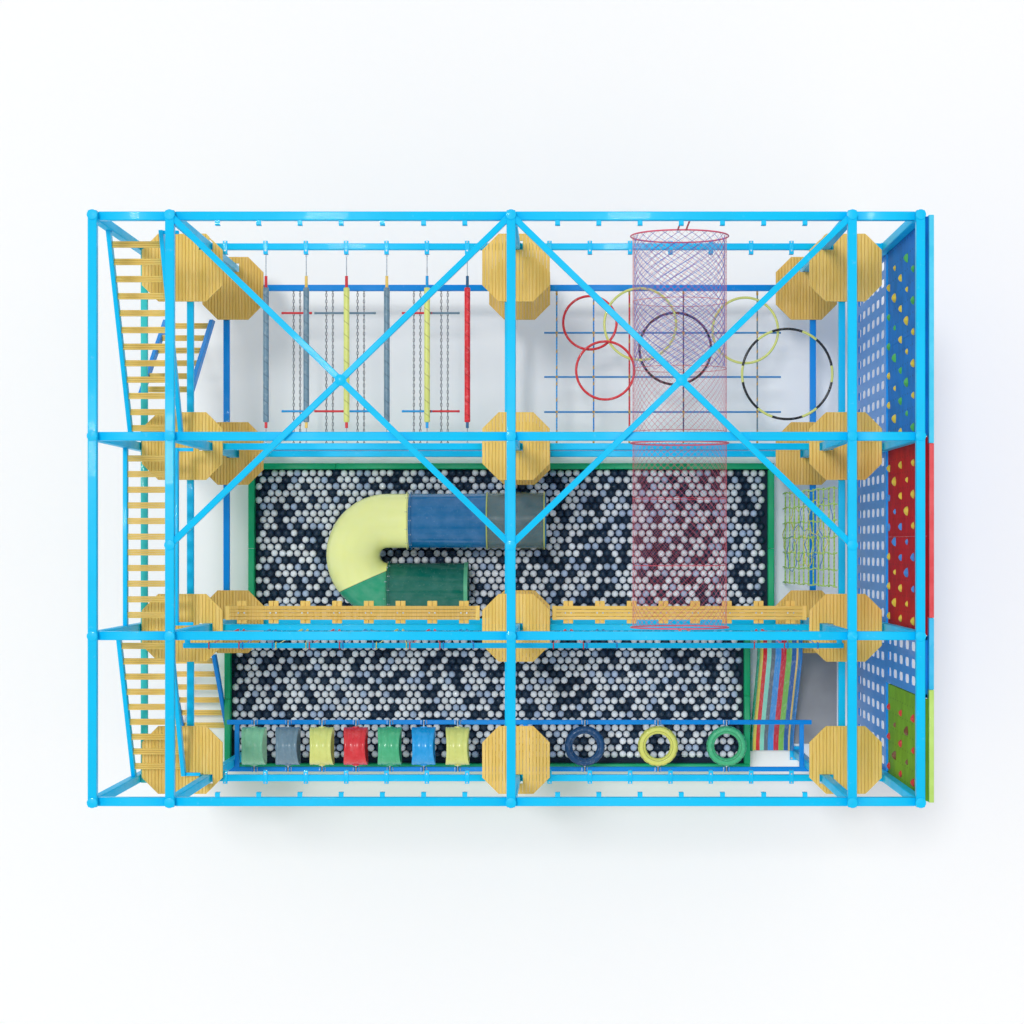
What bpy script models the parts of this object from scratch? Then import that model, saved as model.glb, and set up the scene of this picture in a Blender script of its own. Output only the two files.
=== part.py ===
"""Indoor climbing frame: a steel frame of posts and rails with platforms, stairs, a ball pit,
a tube slide, a striped slide, rollers, chains, rope grid, crawl barrels, swing tyres and a
climbing wall. Metres, +Z up, origin on the floor at the centre of the footprint, +X along the
long side and +Y toward the side with the rollers."""

import math

import bmesh
import bpy
from mathutils import Vector

# Frame grid
LEFT_AISLE = 0.85
MAIN_BAY = 3.75
RIGHT_AISLE = 0.75
BACK_BAY = 2.43
MIDDLE_BAY = 2.20
FRONT_BAY = 1.83
FRAME_HEIGHT = 6.25
TUBE = 0.10
BEAM_WIDTH = 0.08
BEAM_DEPTH = 0.08
BRACE_WIDTH = 0.07
TOUCH = 0.0005
SHY = 0.001

# Feet, caps and tabs
OUTER_PLATE = 0.36
INNER_PLATE = 0.19
PLATE_THICKNESS = 0.012
BOLT_RADIUS = 0.014
BOLT_HEIGHT = 0.016
BOLT_INSET = 0.024
CAP_RADIUS = 0.060
CAP_RISE = 0.014
TAB_COUNT = 7
TAB_PITCH = 0.4545
BRACKET_PITCH = 0.49
BRACKET_SHIFTS = (-0.19, 0.0)
STRAP_PAST = 0.03
STRAP_RISE = 0.012
TAB_WIDTH = 0.06
TAB_REACH = 0.055
TAB_HEIGHT = 0.07
BRACE_LENGTH_IN_Y = 3.63

# Decks
UPPER_DECK = 3.60
LOWER_DECK = 1.30
BOARD_THICKNESS = 0.04
PLATFORM_DEPTH = 0.82
PLATFORM_CHAMFER = 0.20
SMALL_PLATFORM = 0.80
POST_CLEARANCE = 0.006
BACK_PLATFORM_INSET = 0.27
FRONT_PLATFORM_INSET = 0.23
WIDE_PLATFORM_OVERHANG = 0.20
WIDE_PLATFORM_END_SPACE = 0.02
UPPER_BEAM_OUTBOARD = 0.20
GRID_BACK_INSET = 0.25
GRID_FRONT_SPACE = 0.005

# Stairs in the left aisle
STRINGER_WIDTH = 0.05
STRINGER_DEPTH = 0.11
STAIR_WIDTH = 0.60
TREAD_DEPTH = 0.075
TREAD_THICKNESS = 0.035
TREAD_PITCH = 0.185
STAIR_ARM = 0.04
UPPER_FLIGHT_RISES = ((0.28, 1.70), (0.66, 0.66), (0.12, 1.10))
LOWER_FLIGHT_RUN = 1.10
FLIGHT_LANDING_SPACE = 0.02

# Climbing wall
PANEL_THICKNESS = 0.04
PANEL_JOINT = 0.012
WALL_BOTTOM = 3.25
PERFORATED_BOTTOM = 0.15
PERFORATED_TOP = 3.05
TRIM_THICKNESS = 0.055
TRIM_HEIGHT = 0.17
GREEN_WALL_LENGTH = 1.14
HOLD_RADIUS = 0.055
HOLD_HEIGHT = 0.045
HOLD_PITCH_Y = 0.36
HOLD_PITCH_Z = 0.50

# Ball pit
PIT_HEIGHT = 0.55
PIT_WALL = 0.08
MAT_THICKNESS = 0.04
BALL_LEVEL = 0.43
FRONT_PIT_SHIFT = 0.32
PIT_WIDTH = 7.045
PIT_CLEARANCE = 0.005
MAT_MARGIN = 0.03

# Tube slide
SLIDE_RADIUS = 0.355
SLIDE_WALL = 0.012
SLIDE_SIDES = 16
SLIDE_MOUTH_X = 0.40
SLIDE_LINE_Y = -0.08
SLIDE_MOUTH_Z = 1.45
SLIDE_FALL = 0.14
COLLAR_LENGTH = 0.78
COLLAR_THICKNESS = 0.020
COLLAR_SPACE = 0.002
STRAIGHT_LENGTH = 1.80
BEND_LEAD = 0.29
BEND_RADIUS = 0.455
EXIT_LENGTH = 1.05
BEND_STEPS = 9
FLANGE_SPACE = 0.002
SLIDE_LEG = 0.07
SADDLE_WIDTH = 0.50
SADDLE_THICKNESS = 0.03
SADDLE_SPACE = 0.008

# Striped slide
CHUTE_WIDTH = 0.58
CHUTE_LEAD_IN = 0.34
CHUTE_THICKNESS = 0.035
CHUTE_CURB = 0.13
CHUTE_CURB_WIDTH = 0.022
CHUTE_END_Z = 0.14
CHUTE_RUN_OUT = 0.16

# Rollers, chains, rope grid and hoops
ROLLER_COUNT = 6
ROLLER_RADIUS = 0.036
ROLLER_LENGTH = 1.64
ROLLER_NECK_RADIUS = 0.018
ROLLER_NECK_LENGTH = 0.14
ROLLER_SIDES = 10
ROLLER_SHOULDER = 0.012
ROLLER_FORWARD = 0.10
SPINDLE_RADIUS = 0.006
SPINDLE_END_SPACE = 0.001
CHAIN_OFFSETS = (0.82, 1.25, 1.66, 2.40, 2.76)
CHAIN_THICKNESS = 0.016
CHAIN_STRAND_SPACE = 0.085
STEP_BAR_LENGTH = 0.40
STEP_BAR_RADIUS = 0.016
STEP_BAR_INSETS = (0.29, 1.58)
ROPE_OFFSETS = (0.485, 0.97, 1.44, 2.15, 3.12)
ROPE_THICKNESS = 0.022
GRID_BAR_THICKNESS = 0.026
GRID_BAR_INSETS = (0.55, 1.13, 1.59)
GRID_BAR_MARGIN = 0.32
HOOP_THICKNESS = 0.034
HOOP_STEPS = 20
HOOP_LAYER = 0.027
LARGE_HOOP_RADIUS = 0.59
LARGE_HOOP_ACROSS = 3.50
LARGE_HOOP_INSET = 1.10

# Net tunnel and web net
TUNNEL_OFFSET = 1.94
TUNNEL_RADIUS = 0.56
TUNNEL_NET = 0.014
TUNNEL_HEIGHT = 4.42
TUNNEL_SIDES = 12
TUNNEL_RING = 0.030
TUNNEL_HANGER = 0.024
WEB_COLUMNS = 7
WEB_ROWS = 11
WEB_WIDTH = 1.20
WEB_ROPE = 0.018
WEB_FOOT_OUT = 0.20
WEB_FOOT_Z = 0.16

# Beam bridges over the pit
BRIDGE_INBOARD = 0.18
BRIDGE_WIDTH = 0.17
BRIDGE_THICKNESS = 0.04
BRIDGE_END_SPACE = 0.03
BLOCK_COUNT = 8
BLOCK_LENGTH = 0.36
BLOCK_WIDTH = 0.12
BLOCK_HEIGHT = 0.05
BLOCK_OVERHANG = 0.06
HANDRAIL_Z = 5.00
HANDRAIL_OUT = 0.155
HANDRAIL_WIDTH = 0.06
SIDE_ROPE = 0.014

# Crawl barrels and swing tyres
BARREL_COUNT = 7
BARREL_PITCH = 0.44
BARREL_FIRST = 0.31
BARREL_RADIUS = 0.245
BARREL_WALL = 0.020
BARREL_LENGTH = 0.31
BARREL_SCALLOP = 0.022
BARREL_SIDES = 16
CARRIER_GAP = 0.55
CARRIER_WIDTH = 0.06
CARRIER_Z = 1.46
PIVOT_ABOVE_CARRIER = 0.026
PIN_RADIUS = 0.013
PIN_CLEARANCE = 0.0015
CHEEK_WIDTH = 0.018
CHEEK_HEIGHT = 0.052
TYRE_OFFSETS = (0.85, 1.80, 2.69)
TYRE_RADIUS = 0.262
TYRE_TUBE = 0.052
TYRE_CROWN = 1.25
TYRE_STEPS = 18
TYRE_SECTION = 7

COLUMNS = [-(LEFT_AISLE + 2 * MAIN_BAY + RIGHT_AISLE) / 2]
for bay_width in (LEFT_AISLE, MAIN_BAY, MAIN_BAY, RIGHT_AISLE):
    COLUMNS.append(COLUMNS[-1] + bay_width)
ROWS = [(BACK_BAY + MIDDLE_BAY + FRONT_BAY) / 2]
for bay_depth in (BACK_BAY, MIDDLE_BAY, FRONT_BAY):
    ROWS.append(ROWS[-1] - bay_depth)

HALF_TUBE = TUBE / 2
HALF_BEAM = BEAM_WIDTH / 2
POST_FACE = HALF_TUBE + TOUCH
ROW_RAIL_TOP = FRAME_HEIGHT - TUBE
UPPER_BEAM_TOP = UPPER_DECK - BOARD_THICKNESS
UPPER_ROW_TOP = UPPER_BEAM_TOP - BEAM_DEPTH - TOUCH
LOWER_BEAM_TOP = LOWER_DECK - BOARD_THICKNESS
LOWER_ROW_TOP = LOWER_BEAM_TOP - BEAM_DEPTH - TOUCH
FRONT_FACE = ROWS[3] - HALF_TUBE - TOUCH

BLUE = (0.02, 0.48, 0.88)
DEEP_BLUE = (0.01, 0.20, 0.62)
TIMBER = (0.75, 0.46, 0.09)
PIT_GREEN = (0.0, 0.22, 0.08)
NAVY = (0.004, 0.07, 0.17)
LIME = (0.58, 0.68, 0.10)
GREEN = (0.02, 0.36, 0.16)
RED = (0.68, 0.03, 0.04)
GREY_BLUE = (0.10, 0.20, 0.28)
SKY = (0.0, 0.28, 0.68)
YELLOW = (0.75, 0.75, 0.12)


def clear_scene():
    for item in list(bpy.data.objects):
        bpy.data.objects.remove(item, do_unlink=True)


def make_material(name, colour, roughness, metallic):
    material = bpy.data.materials.new(name)
    material.use_nodes = True
    shader = material.node_tree.nodes["Principled BSDF"]
    shader.inputs["Base Color"].default_value = (*colour, 1.0)
    shader.inputs["Roughness"].default_value = roughness
    shader.inputs["Metallic"].default_value = metallic
    material.diffuse_color = (*colour, 1.0)
    return material


def finish(name, shape, colour, roughness=0.45, metallic=0.0, origin=(0, 0, 0), smooth=False):
    """Turn the gathered solids into one named object whose origin is the given point."""
    bmesh.ops.recalc_face_normals(shape, faces=shape.faces)
    bmesh.ops.translate(shape, verts=shape.verts, vec=-Vector(origin))
    mesh = bpy.data.meshes.new(name)
    shape.to_mesh(mesh)
    shape.free()
    if smooth:
        mesh.shade_smooth()
        mesh.set_sharp_from_angle(angle=math.radians(35))
    mesh.materials.append(make_material(name, colour, roughness, metallic))
    item = bpy.data.objects.new(name, mesh)
    item.location = origin
    bpy.context.scene.collection.objects.link(item)
    return item


def boolean(item, operation, other, own_overlaps=False):
    modifier = item.modifiers.new(f"{operation.lower()}_{other.name}", "BOOLEAN")
    modifier.operation = operation
    modifier.solver = "EXACT"
    modifier.use_self = own_overlaps
    modifier.object = other


def helper(name, shape):
    """A solid that only takes part in Booleans."""
    item = finish(name, shape, DEEP_BLUE)
    item.hide_render = True
    item.display_type = "WIRE"
    return item


def weld(item, inside):
    """Join an object's overlapping solids into one body. The point lies inside one of them."""
    seed = bmesh.new()
    size = 0.002
    box(seed, [value - size for value in inside], [value + size for value in inside])
    boolean(item, "UNION", helper(f"{item.name}_seed", seed), own_overlaps=True)
    return item


def cut(item, boxes):
    shape = bmesh.new()
    for low, high in boxes:
        box(shape, low, high)
    boolean(item, "DIFFERENCE", helper(f"{item.name}_cutter", shape))
    return item


def loft(shape, rings, closed=False):
    """Skin a list of equal rings of points. An open skin gets a face over each end."""
    loops = [[shape.verts.new(point) for point in ring] for ring in rings]
    count = len(loops[0])
    spans = len(loops) if closed else len(loops) - 1
    for step in range(spans):
        near, far = loops[step], loops[(step + 1) % len(loops)]
        for side in range(count):
            after = (side + 1) % count
            shape.faces.new((near[side], near[after], far[after], far[side]))
    if not closed:
        shape.faces.new(loops[0])
        shape.faces.new(loops[-1])


def box(shape, low, high):
    corners = [(low[0], low[1]), (high[0], low[1]), (high[0], high[1]), (low[0], high[1])]
    prism(shape, corners, low[2], high[2])


def prism(shape, outline, bottom, top):
    loft(shape, [[(x, y, bottom) for x, y in outline], [(x, y, top) for x, y in outline]])


def cross_axes(direction):
    """Two unit vectors square to a direction: the first is level."""
    side = direction.cross(Vector((0, 0, 1)))
    if side.length < 1e-6:
        side = Vector((1, 0, 0))
    side.normalize()
    return side, side.cross(direction).normalized()


def bar(shape, start, end, width, depth):
    """A rectangular bar between two points: width is level, depth is square to it."""
    start, end = Vector(start), Vector(end)
    side, rise = cross_axes((end - start).normalized())
    corners = [side * (width / 2 * u) + rise * (depth / 2 * v)
               for u, v in ((-1, -1), (1, -1), (1, 1), (-1, 1))]
    loft(shape, [[start + corner for corner in corners], [end + corner for corner in corners]])


def rod(shape, start, end, radius, sides=8):
    start, end = Vector(start), Vector(end)
    direction = (end - start).normalized()
    loft(shape, [ring_at(point, direction, radius, sides) for point in (start, end)])


def turns(count, phase=0.5):
    return [2 * math.pi * (step + phase) / count for step in range(count)]


def ring_at(centre, direction, radius, sides):
    side, rise = cross_axes(direction)
    return [centre + side * (radius * math.cos(angle)) + rise * (radius * math.sin(angle))
            for angle in turns(sides)]


def plate_size(x):
    return OUTER_PLATE if x in (COLUMNS[0], COLUMNS[-1]) else INNER_PLATE


def add_post(shape, x, y):
    half = plate_size(x) / 2
    box(shape, (x - HALF_TUBE, y - HALF_TUBE, PLATE_THICKNESS / 2),
        (x + HALF_TUBE, y + HALF_TUBE, ROW_RAIL_TOP))
    box(shape, (x - half, y - half, 0), (x + half, y + half, PLATE_THICKNESS))
    reach = half - BOLT_INSET
    for sign in (-1, 1):
        foot = Vector((x + sign * reach, y + sign * reach, PLATE_THICKNESS / 2))
        head = Vector((foot.x, foot.y, PLATE_THICKNESS + BOLT_HEIGHT))
        rod(shape, foot, head, BOLT_RADIUS, 6)


def even_spots(bay, pitch, shift=0.0):
    centre = (COLUMNS[bay] + COLUMNS[bay + 1]) / 2 + shift
    return [centre + pitch * (index - (TAB_COUNT - 1) / 2) for index in range(TAB_COUNT)]


def bracket_spots(bay):
    """The brackets on the upper beams. Those of the left bay hold the rollers and stand off its middle."""
    return even_spots(bay, BRACKET_PITCH, BRACKET_SHIFTS[bay - 1])


def add_tab(shape, x, y, inward, half_width, top):
    """A tab that hangs on the face of a rail that looks into the frame."""
    ends = sorted((y + inward * (half_width - SHY * 4), y + inward * (half_width + TAB_REACH)))
    box(shape, (x - TAB_WIDTH / 2, ends[0], top - TAB_HEIGHT), (x + TAB_WIDTH / 2, ends[1], top - SHY))


def add_strap(shape, x, y, inward):
    """The strap of a bracket, over the beam and a little past its far face."""
    half = TAB_WIDTH / 2 - SHY
    ends = sorted((y - inward * (HALF_BEAM + STRAP_PAST), y + inward * (HALF_BEAM + TAB_REACH - SHY)))
    box(shape, (x - half, ends[0], UPPER_ROW_TOP - STRAP_RISE),
        (x + half, ends[1], UPPER_ROW_TOP + STRAP_RISE))


def make_row_frames():
    """Each row of posts is one welded portal: posts on base plates, a top rail and deck beams."""
    left, right = COLUMNS[0], COLUMNS[-1]
    rail = HALF_TUBE - SHY
    for row, name in enumerate(("back", "second", "third", "front")):
        y = ROWS[row]
        shape = bmesh.new()
        for x in COLUMNS:
            add_post(shape, x, y)
        box(shape, (left, y - rail, ROW_RAIL_TOP - TUBE), (right, y + rail, ROW_RAIL_TOP - SHY))
        box(shape, (left, y - HALF_BEAM, UPPER_ROW_TOP - BEAM_DEPTH), (right, y + HALF_BEAM, UPPER_ROW_TOP))
        if row in (1, 2):
            box(shape, (COLUMNS[1], y - HALF_BEAM, LOWER_ROW_TOP - BEAM_DEPTH),
                (COLUMNS[3], y + HALF_BEAM, LOWER_ROW_TOP))
        if row in (0, 3):
            inward = -1 if row == 0 else 1
            for bay in (1, 2):
                for x in even_spots(bay, TAB_PITCH):
                    add_tab(shape, x, y, inward, HALF_TUBE, ROW_RAIL_TOP - 2 * SHY)
                for x in bracket_spots(bay):
                    add_tab(shape, x, y, inward, HALF_BEAM, UPPER_ROW_TOP)
                    add_strap(shape, x, y, inward)
        if row == 2:
            platform(shape, (COLUMNS[2], platform_line(2)), SMALL_PLATFORM, LOWER_DECK,
                     LOWER_ROW_TOP - LOWER_BEAM_TOP - SHY)
        item = finish(f"row_frame_{name}", shape, BLUE, 0.35)
        weld(item, (left, y, FRAME_HEIGHT / 2))


def brace_line():
    return ROWS[0] - BRACE_LENGTH_IN_Y


def add_cross_rail(shape, x, caps):
    low, high = ROWS[3] - HALF_TUBE, ROWS[0] + HALF_TUBE
    box(shape, (x - HALF_TUBE, low, ROW_RAIL_TOP + TOUCH), (x + HALF_TUBE, high, FRAME_HEIGHT))
    for y in caps:
        ring = [(x + CAP_RADIUS * math.cos(angle), y + CAP_RADIUS * math.sin(angle))
                for angle in turns(8)]
        prism(shape, ring, FRAME_HEIGHT - CAP_RISE, FRAME_HEIGHT + CAP_RISE)


def make_roof():
    """Cross rails lie on the row frames. The middle three are tied by two crosses of braces."""
    for name, column in (("left", 0), ("right", 4)):
        shape = bmesh.new()
        add_cross_rail(shape, COLUMNS[column], ROWS)
        weld(finish(f"cross_rail_{name}", shape, BLUE, 0.35),
             (COLUMNS[column], 0, FRAME_HEIGHT - HALF_TUBE))

    shape = bmesh.new()
    for column in (1, 2, 3):
        add_cross_rail(shape, COLUMNS[column], ROWS + [brace_line()])
    level = FRAME_HEIGHT - HALF_TUBE
    for bay in (1, 2):
        left, right = COLUMNS[bay], COLUMNS[bay + 1]
        bar(shape, (left, brace_line(), level), (right, ROWS[0], level), BRACE_WIDTH, BRACE_WIDTH)
        bar(shape, (left, ROWS[0], level), (right, brace_line(), level),
            BRACE_WIDTH, BRACE_WIDTH - 2 * SHY)
    weld(finish("roof_grid", shape, BLUE, 0.35), (COLUMNS[1], 0, level))


def platform(shape, centre, width, top, sink=0.0):
    """A timber platform: an octagon a board thick, sunk further where it joins a beam."""
    half_x, half_y = width / 2, PLATFORM_DEPTH / 2
    corner = PLATFORM_CHAMFER
    outline = []
    for u, v in ((-1, -1), (1, -1), (1, 1), (-1, 1)):
        along = (centre[0] + u * (half_x - corner), centre[1] + v * half_y)
        across = (centre[0] + u * half_x, centre[1] + v * (half_y - corner))
        outline += [across, along] if u * v > 0 else [along, across]
    prism(shape, outline, top - BOARD_THICKNESS + sink, top)


def platform_line(row):
    inset = (-BACK_PLATFORM_INSET, 0.0, 0.0, FRONT_PLATFORM_INSET)[row]
    return ROWS[row] + inset


def outward(column):
    """The side of an inner column that faces its aisle. The middle column counts as left."""
    return 1 if column == 3 else -1


def wide_platform(column):
    """Middle and width of the aisle platforms. They reach a set way past the inner posts and
    end short of the outer posts' inner faces."""
    side = outward(column)
    outer = COLUMNS[column + side] - side * (HALF_TUBE + WIDE_PLATFORM_END_SPACE)
    inner = COLUMNS[column] - side * WIDE_PLATFORM_OVERHANG
    return (outer + inner) / 2, abs(outer - inner)


def beam_y(shape, x, start, end, top):
    box(shape, (x - HALF_BEAM, start, top - BEAM_DEPTH), (x + HALF_BEAM, end, top + 4 * SHY))


def upper_beam_x(column):
    if column == 2:
        return COLUMNS[column] - POST_FACE - HALF_BEAM - POST_CLEARANCE
    return COLUMNS[column] + outward(column) * UPPER_BEAM_OUTBOARD


def lower_beam_x(column):
    return COLUMNS[column] + outward(column) * (POST_FACE + HALF_BEAM)


def post_holes(column, bottom, top):
    keep = HALF_TUBE + POST_CLEARANCE
    x = COLUMNS[column]
    return [((x - keep, y - keep, bottom), (x + keep, y + keep, top)) for y in ROWS]


def make_decks():
    """Each deck line is a beam across the frame with the platforms that it carries."""
    names = {1: "left", 2: "middle", 3: "right"}
    reach = HALF_TUBE
    for column, side in names.items():
        centre, width = (COLUMNS[2], PLATFORM_DEPTH) if column == 2 else wide_platform(column)
        shape = bmesh.new()
        beam_y(shape, upper_beam_x(column), ROWS[3] - reach, ROWS[0] + reach, UPPER_BEAM_TOP)
        for row in range(4):
            platform(shape, (centre, platform_line(row)), width, UPPER_DECK)
        item = weld(finish(f"upper_deck_{side}", shape, TIMBER, 0.6),
                    (upper_beam_x(column), 0, UPPER_BEAM_TOP - HALF_BEAM))
        cut(item, post_holes(column, UPPER_BEAM_TOP - BEAM_DEPTH, UPPER_DECK + BOARD_THICKNESS))

        last = 1 if column == 2 else 2
        shape = bmesh.new()
        beam_y(shape, lower_beam_x(column), ROWS[last] - reach, ROWS[0] + reach, LOWER_BEAM_TOP)
        for row in range(last + 1):
            platform(shape, (COLUMNS[column], platform_line(row)), SMALL_PLATFORM, LOWER_DECK)
        item = weld(finish(f"lower_deck_{side}", shape, TIMBER, 0.6),
                    (lower_beam_x(column), ROWS[1] + 1, LOWER_BEAM_TOP - HALF_BEAM))
        holes = post_holes(column, LOWER_BEAM_TOP, LOWER_DECK + BOARD_THICKNESS)
        cut(item, holes[:last + 1])

    shape = bmesh.new()
    x = COLUMNS[0] + POST_FACE + HALF_BEAM
    box(shape, (x - HALF_BEAM, ROWS[3] - reach, UPPER_BEAM_TOP - BEAM_DEPTH),
        (x + HALF_BEAM, ROWS[0] + reach, UPPER_BEAM_TOP - TOUCH))
    finish("aisle_edge_beam", shape, (0.08, 0.62, 0.66), 0.35)


def make_stairs():
    """Three flights above the upper deck between the posts, and two access flights below."""
    half = HALF_TUBE + TOUCH
    left = COLUMNS[0]
    right = left + STAIR_WIDTH
    for index, (low_rise, high_rise) in enumerate(UPPER_FLIGHT_RISES):
        near = (ROWS[index + 1] + half, UPPER_DECK + low_rise)
        far = (ROWS[index] - half, UPPER_DECK + high_rise)
        shape = bmesh.new()
        add_flight(shape, left, right, near, far)
        for y, z, inward in ((near[0], near[1], 1), (far[0], far[1], -1)):
            ends = sorted((y, y + inward * STAIR_ARM))
            box(shape, (right, ends[0], z - STAIR_ARM / 2),
                (COLUMNS[1] - HALF_TUBE - TOUCH, ends[1], z + STAIR_ARM / 2))
        middle = (left, (near[0] + far[0]) / 2, (near[1] + far[1]) / 2)
        weld(finish(f"upper_stair_{index + 1}", shape, TIMBER, 0.6), middle)

    deck_start = platform_line(0) - PLATFORM_DEPTH / 2 - FLIGHT_LANDING_SPACE
    floor_end = platform_line(2) - PLATFORM_DEPTH / 2 - FLIGHT_LANDING_SPACE
    flights = (("deck_stair", (deck_start, LOWER_DECK + STRINGER_DEPTH),
                (deck_start - LOWER_FLIGHT_RUN, UPPER_ROW_TOP - 2 * STRINGER_DEPTH)),
               ("floor_stair", (floor_end - LOWER_FLIGHT_RUN, 0.0), (floor_end, LOWER_BEAM_TOP)))
    for name, low, high in flights:
        shape = bmesh.new()
        add_flight(shape, left, right, low, high)
        middle = (left, (low[0] + high[0]) / 2, (low[1] + high[1]) / 2)
        weld(finish(name, shape, TIMBER, 0.6), middle)


def add_flight(shape, left, right, low, high):
    """Two stringers with plumb ends and the treads between them."""
    start, end = sorted((low, high))
    span = end[0] - start[0]
    slope = (end[1] - start[1]) / span
    half_depth = STRINGER_DEPTH / 2 * math.sqrt(1 + slope * slope)
    half_width = STRINGER_WIDTH / 2
    for x in (left, right):
        rings = []
        for y, z in (start, end):
            bottom = max(z - half_depth, 0.0)
            rings.append([(x - half_width, y, bottom), (x + half_width, y, bottom),
                          (x + half_width, y, z + half_depth), (x - half_width, y, z + half_depth)])
        loft(shape, rings)
    count = int((span - 2 * TREAD_DEPTH) / TREAD_PITCH) + 1
    margin = (span - TREAD_PITCH * (count - 1)) / 2
    for index in range(count):
        y = start[0] + margin + TREAD_PITCH * index
        z = start[1] + slope * (y - start[0])
        box(shape, (left, y - TREAD_DEPTH / 2, z - TREAD_THICKNESS / 2),
            (right, y + TREAD_DEPTH / 2, z + TREAD_THICKNESS / 2))


def wall_face():
    return COLUMNS[-1] + HALF_TUBE + TOUCH


def add_panel(shape, start, end, bottom, top, thickness=PANEL_THICKNESS):
    box(shape, (wall_face(), start + PANEL_JOINT / 2, bottom),
        (wall_face() + thickness, end - PANEL_JOINT / 2, top))


def green_wall_start():
    return ROWS[3] + GREEN_WALL_LENGTH


def make_wall():
    """Climbing panels on the outer faces of the right posts, with grips on their inner side."""
    top = ROW_RAIL_TOP
    middle = wall_face() + PANEL_THICKNESS / 2
    spans = (("blue", ROWS[1], ROWS[0], (0.0, 0.10, 0.35)),
             ("red", ROWS[2], ROWS[1], (0.38, 0.01, 0.02)),
             ("green", ROWS[3], green_wall_start(), (0.16, 0.42, 0.03)))
    for name, start, end, colour in spans:
        shape = bmesh.new()
        add_panel(shape, start, end, WALL_BOTTOM, top)
        add_holds(shape, start, end)
        weld(finish(f"wall_panel_{name}", shape, colour, 0.5),
             (middle, (start + end) / 2, (WALL_BOTTOM + top) / 2))

    shape = bmesh.new()
    add_panel(shape, ROWS[3], ROWS[0], PERFORATED_BOTTOM, PERFORATED_TOP)
    add_panel(shape, green_wall_start(), ROWS[2], PERFORATED_TOP - PANEL_JOINT, top,
              PANEL_THICKNESS - SHY)
    weld(finish("perforated_panels", shape, (0.0, 0.19, 0.58), 0.5),
         (middle, 0, (PERFORATED_BOTTOM + PERFORATED_TOP) / 2))

    trim = bmesh.new()
    face = wall_face() + PANEL_THICKNESS + TOUCH
    box(trim, (face, ROWS[3], FRAME_HEIGHT - TRIM_HEIGHT),
        (face + TRIM_THICKNESS, ROWS[0], FRAME_HEIGHT))
    finish("wall_trim", trim, BLUE, 0.4)


def add_holds(shape, start, end):
    """Five-sided grips in staggered rows between the posts."""
    margin = HALF_TUBE + 1.6 * HOLD_RADIUS
    height = ROW_RAIL_TOP - TUBE - WALL_BOTTOM
    rows = int((height - 2 * margin) / HOLD_PITCH_Z) + 1
    count = int((end - start - 2 * margin) / HOLD_PITCH_Y) + 1
    for row in range(rows):
        z = WALL_BOTTOM + margin + HOLD_PITCH_Z * row
        shift = HOLD_PITCH_Y / 2 * (row % 2)
        for index in range(count):
            y = start + margin + shift + HOLD_PITCH_Y * index
            if y < end - margin:
                size = 0.8 + 0.2 * math.sin(3.1 * index + 1.7 * row)
                add_hold(shape, y, z, size, 0.37 * (row + index))


def add_hold(shape, y, z, size, phase):
    face = wall_face() + PANEL_THICKNESS / 3
    depth = PANEL_THICKNESS / 3 + HOLD_HEIGHT * size
    rings = []
    for back, scale in ((0.0, 1.0), (depth, 0.6)):
        rings.append([(face - back, y + HOLD_RADIUS * size * scale * math.cos(angle),
                       z + HOLD_RADIUS * size * scale * math.sin(angle))
                      for angle in turns(5, phase)])
    loft(shape, rings)


def pit_bounds():
    """The two rectangles of the pit: behind and in front of the third row of posts."""
    left = COLUMNS[1] + INNER_PLATE / 2 + PIT_CLEARANCE
    step = ROWS[2] - INNER_PLATE / 2 - 2 * PIT_CLEARANCE
    back = ROWS[1] - INNER_PLATE / 2 - PIT_CLEARANCE
    front = ROWS[3] - OUTER_PLATE / 2
    rear = (left, left + PIT_WIDTH, step, back)
    fore = (left - FRONT_PIT_SHIFT, left - FRONT_PIT_SHIFT + PIT_WIDTH, front, step)
    return rear, fore


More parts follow.
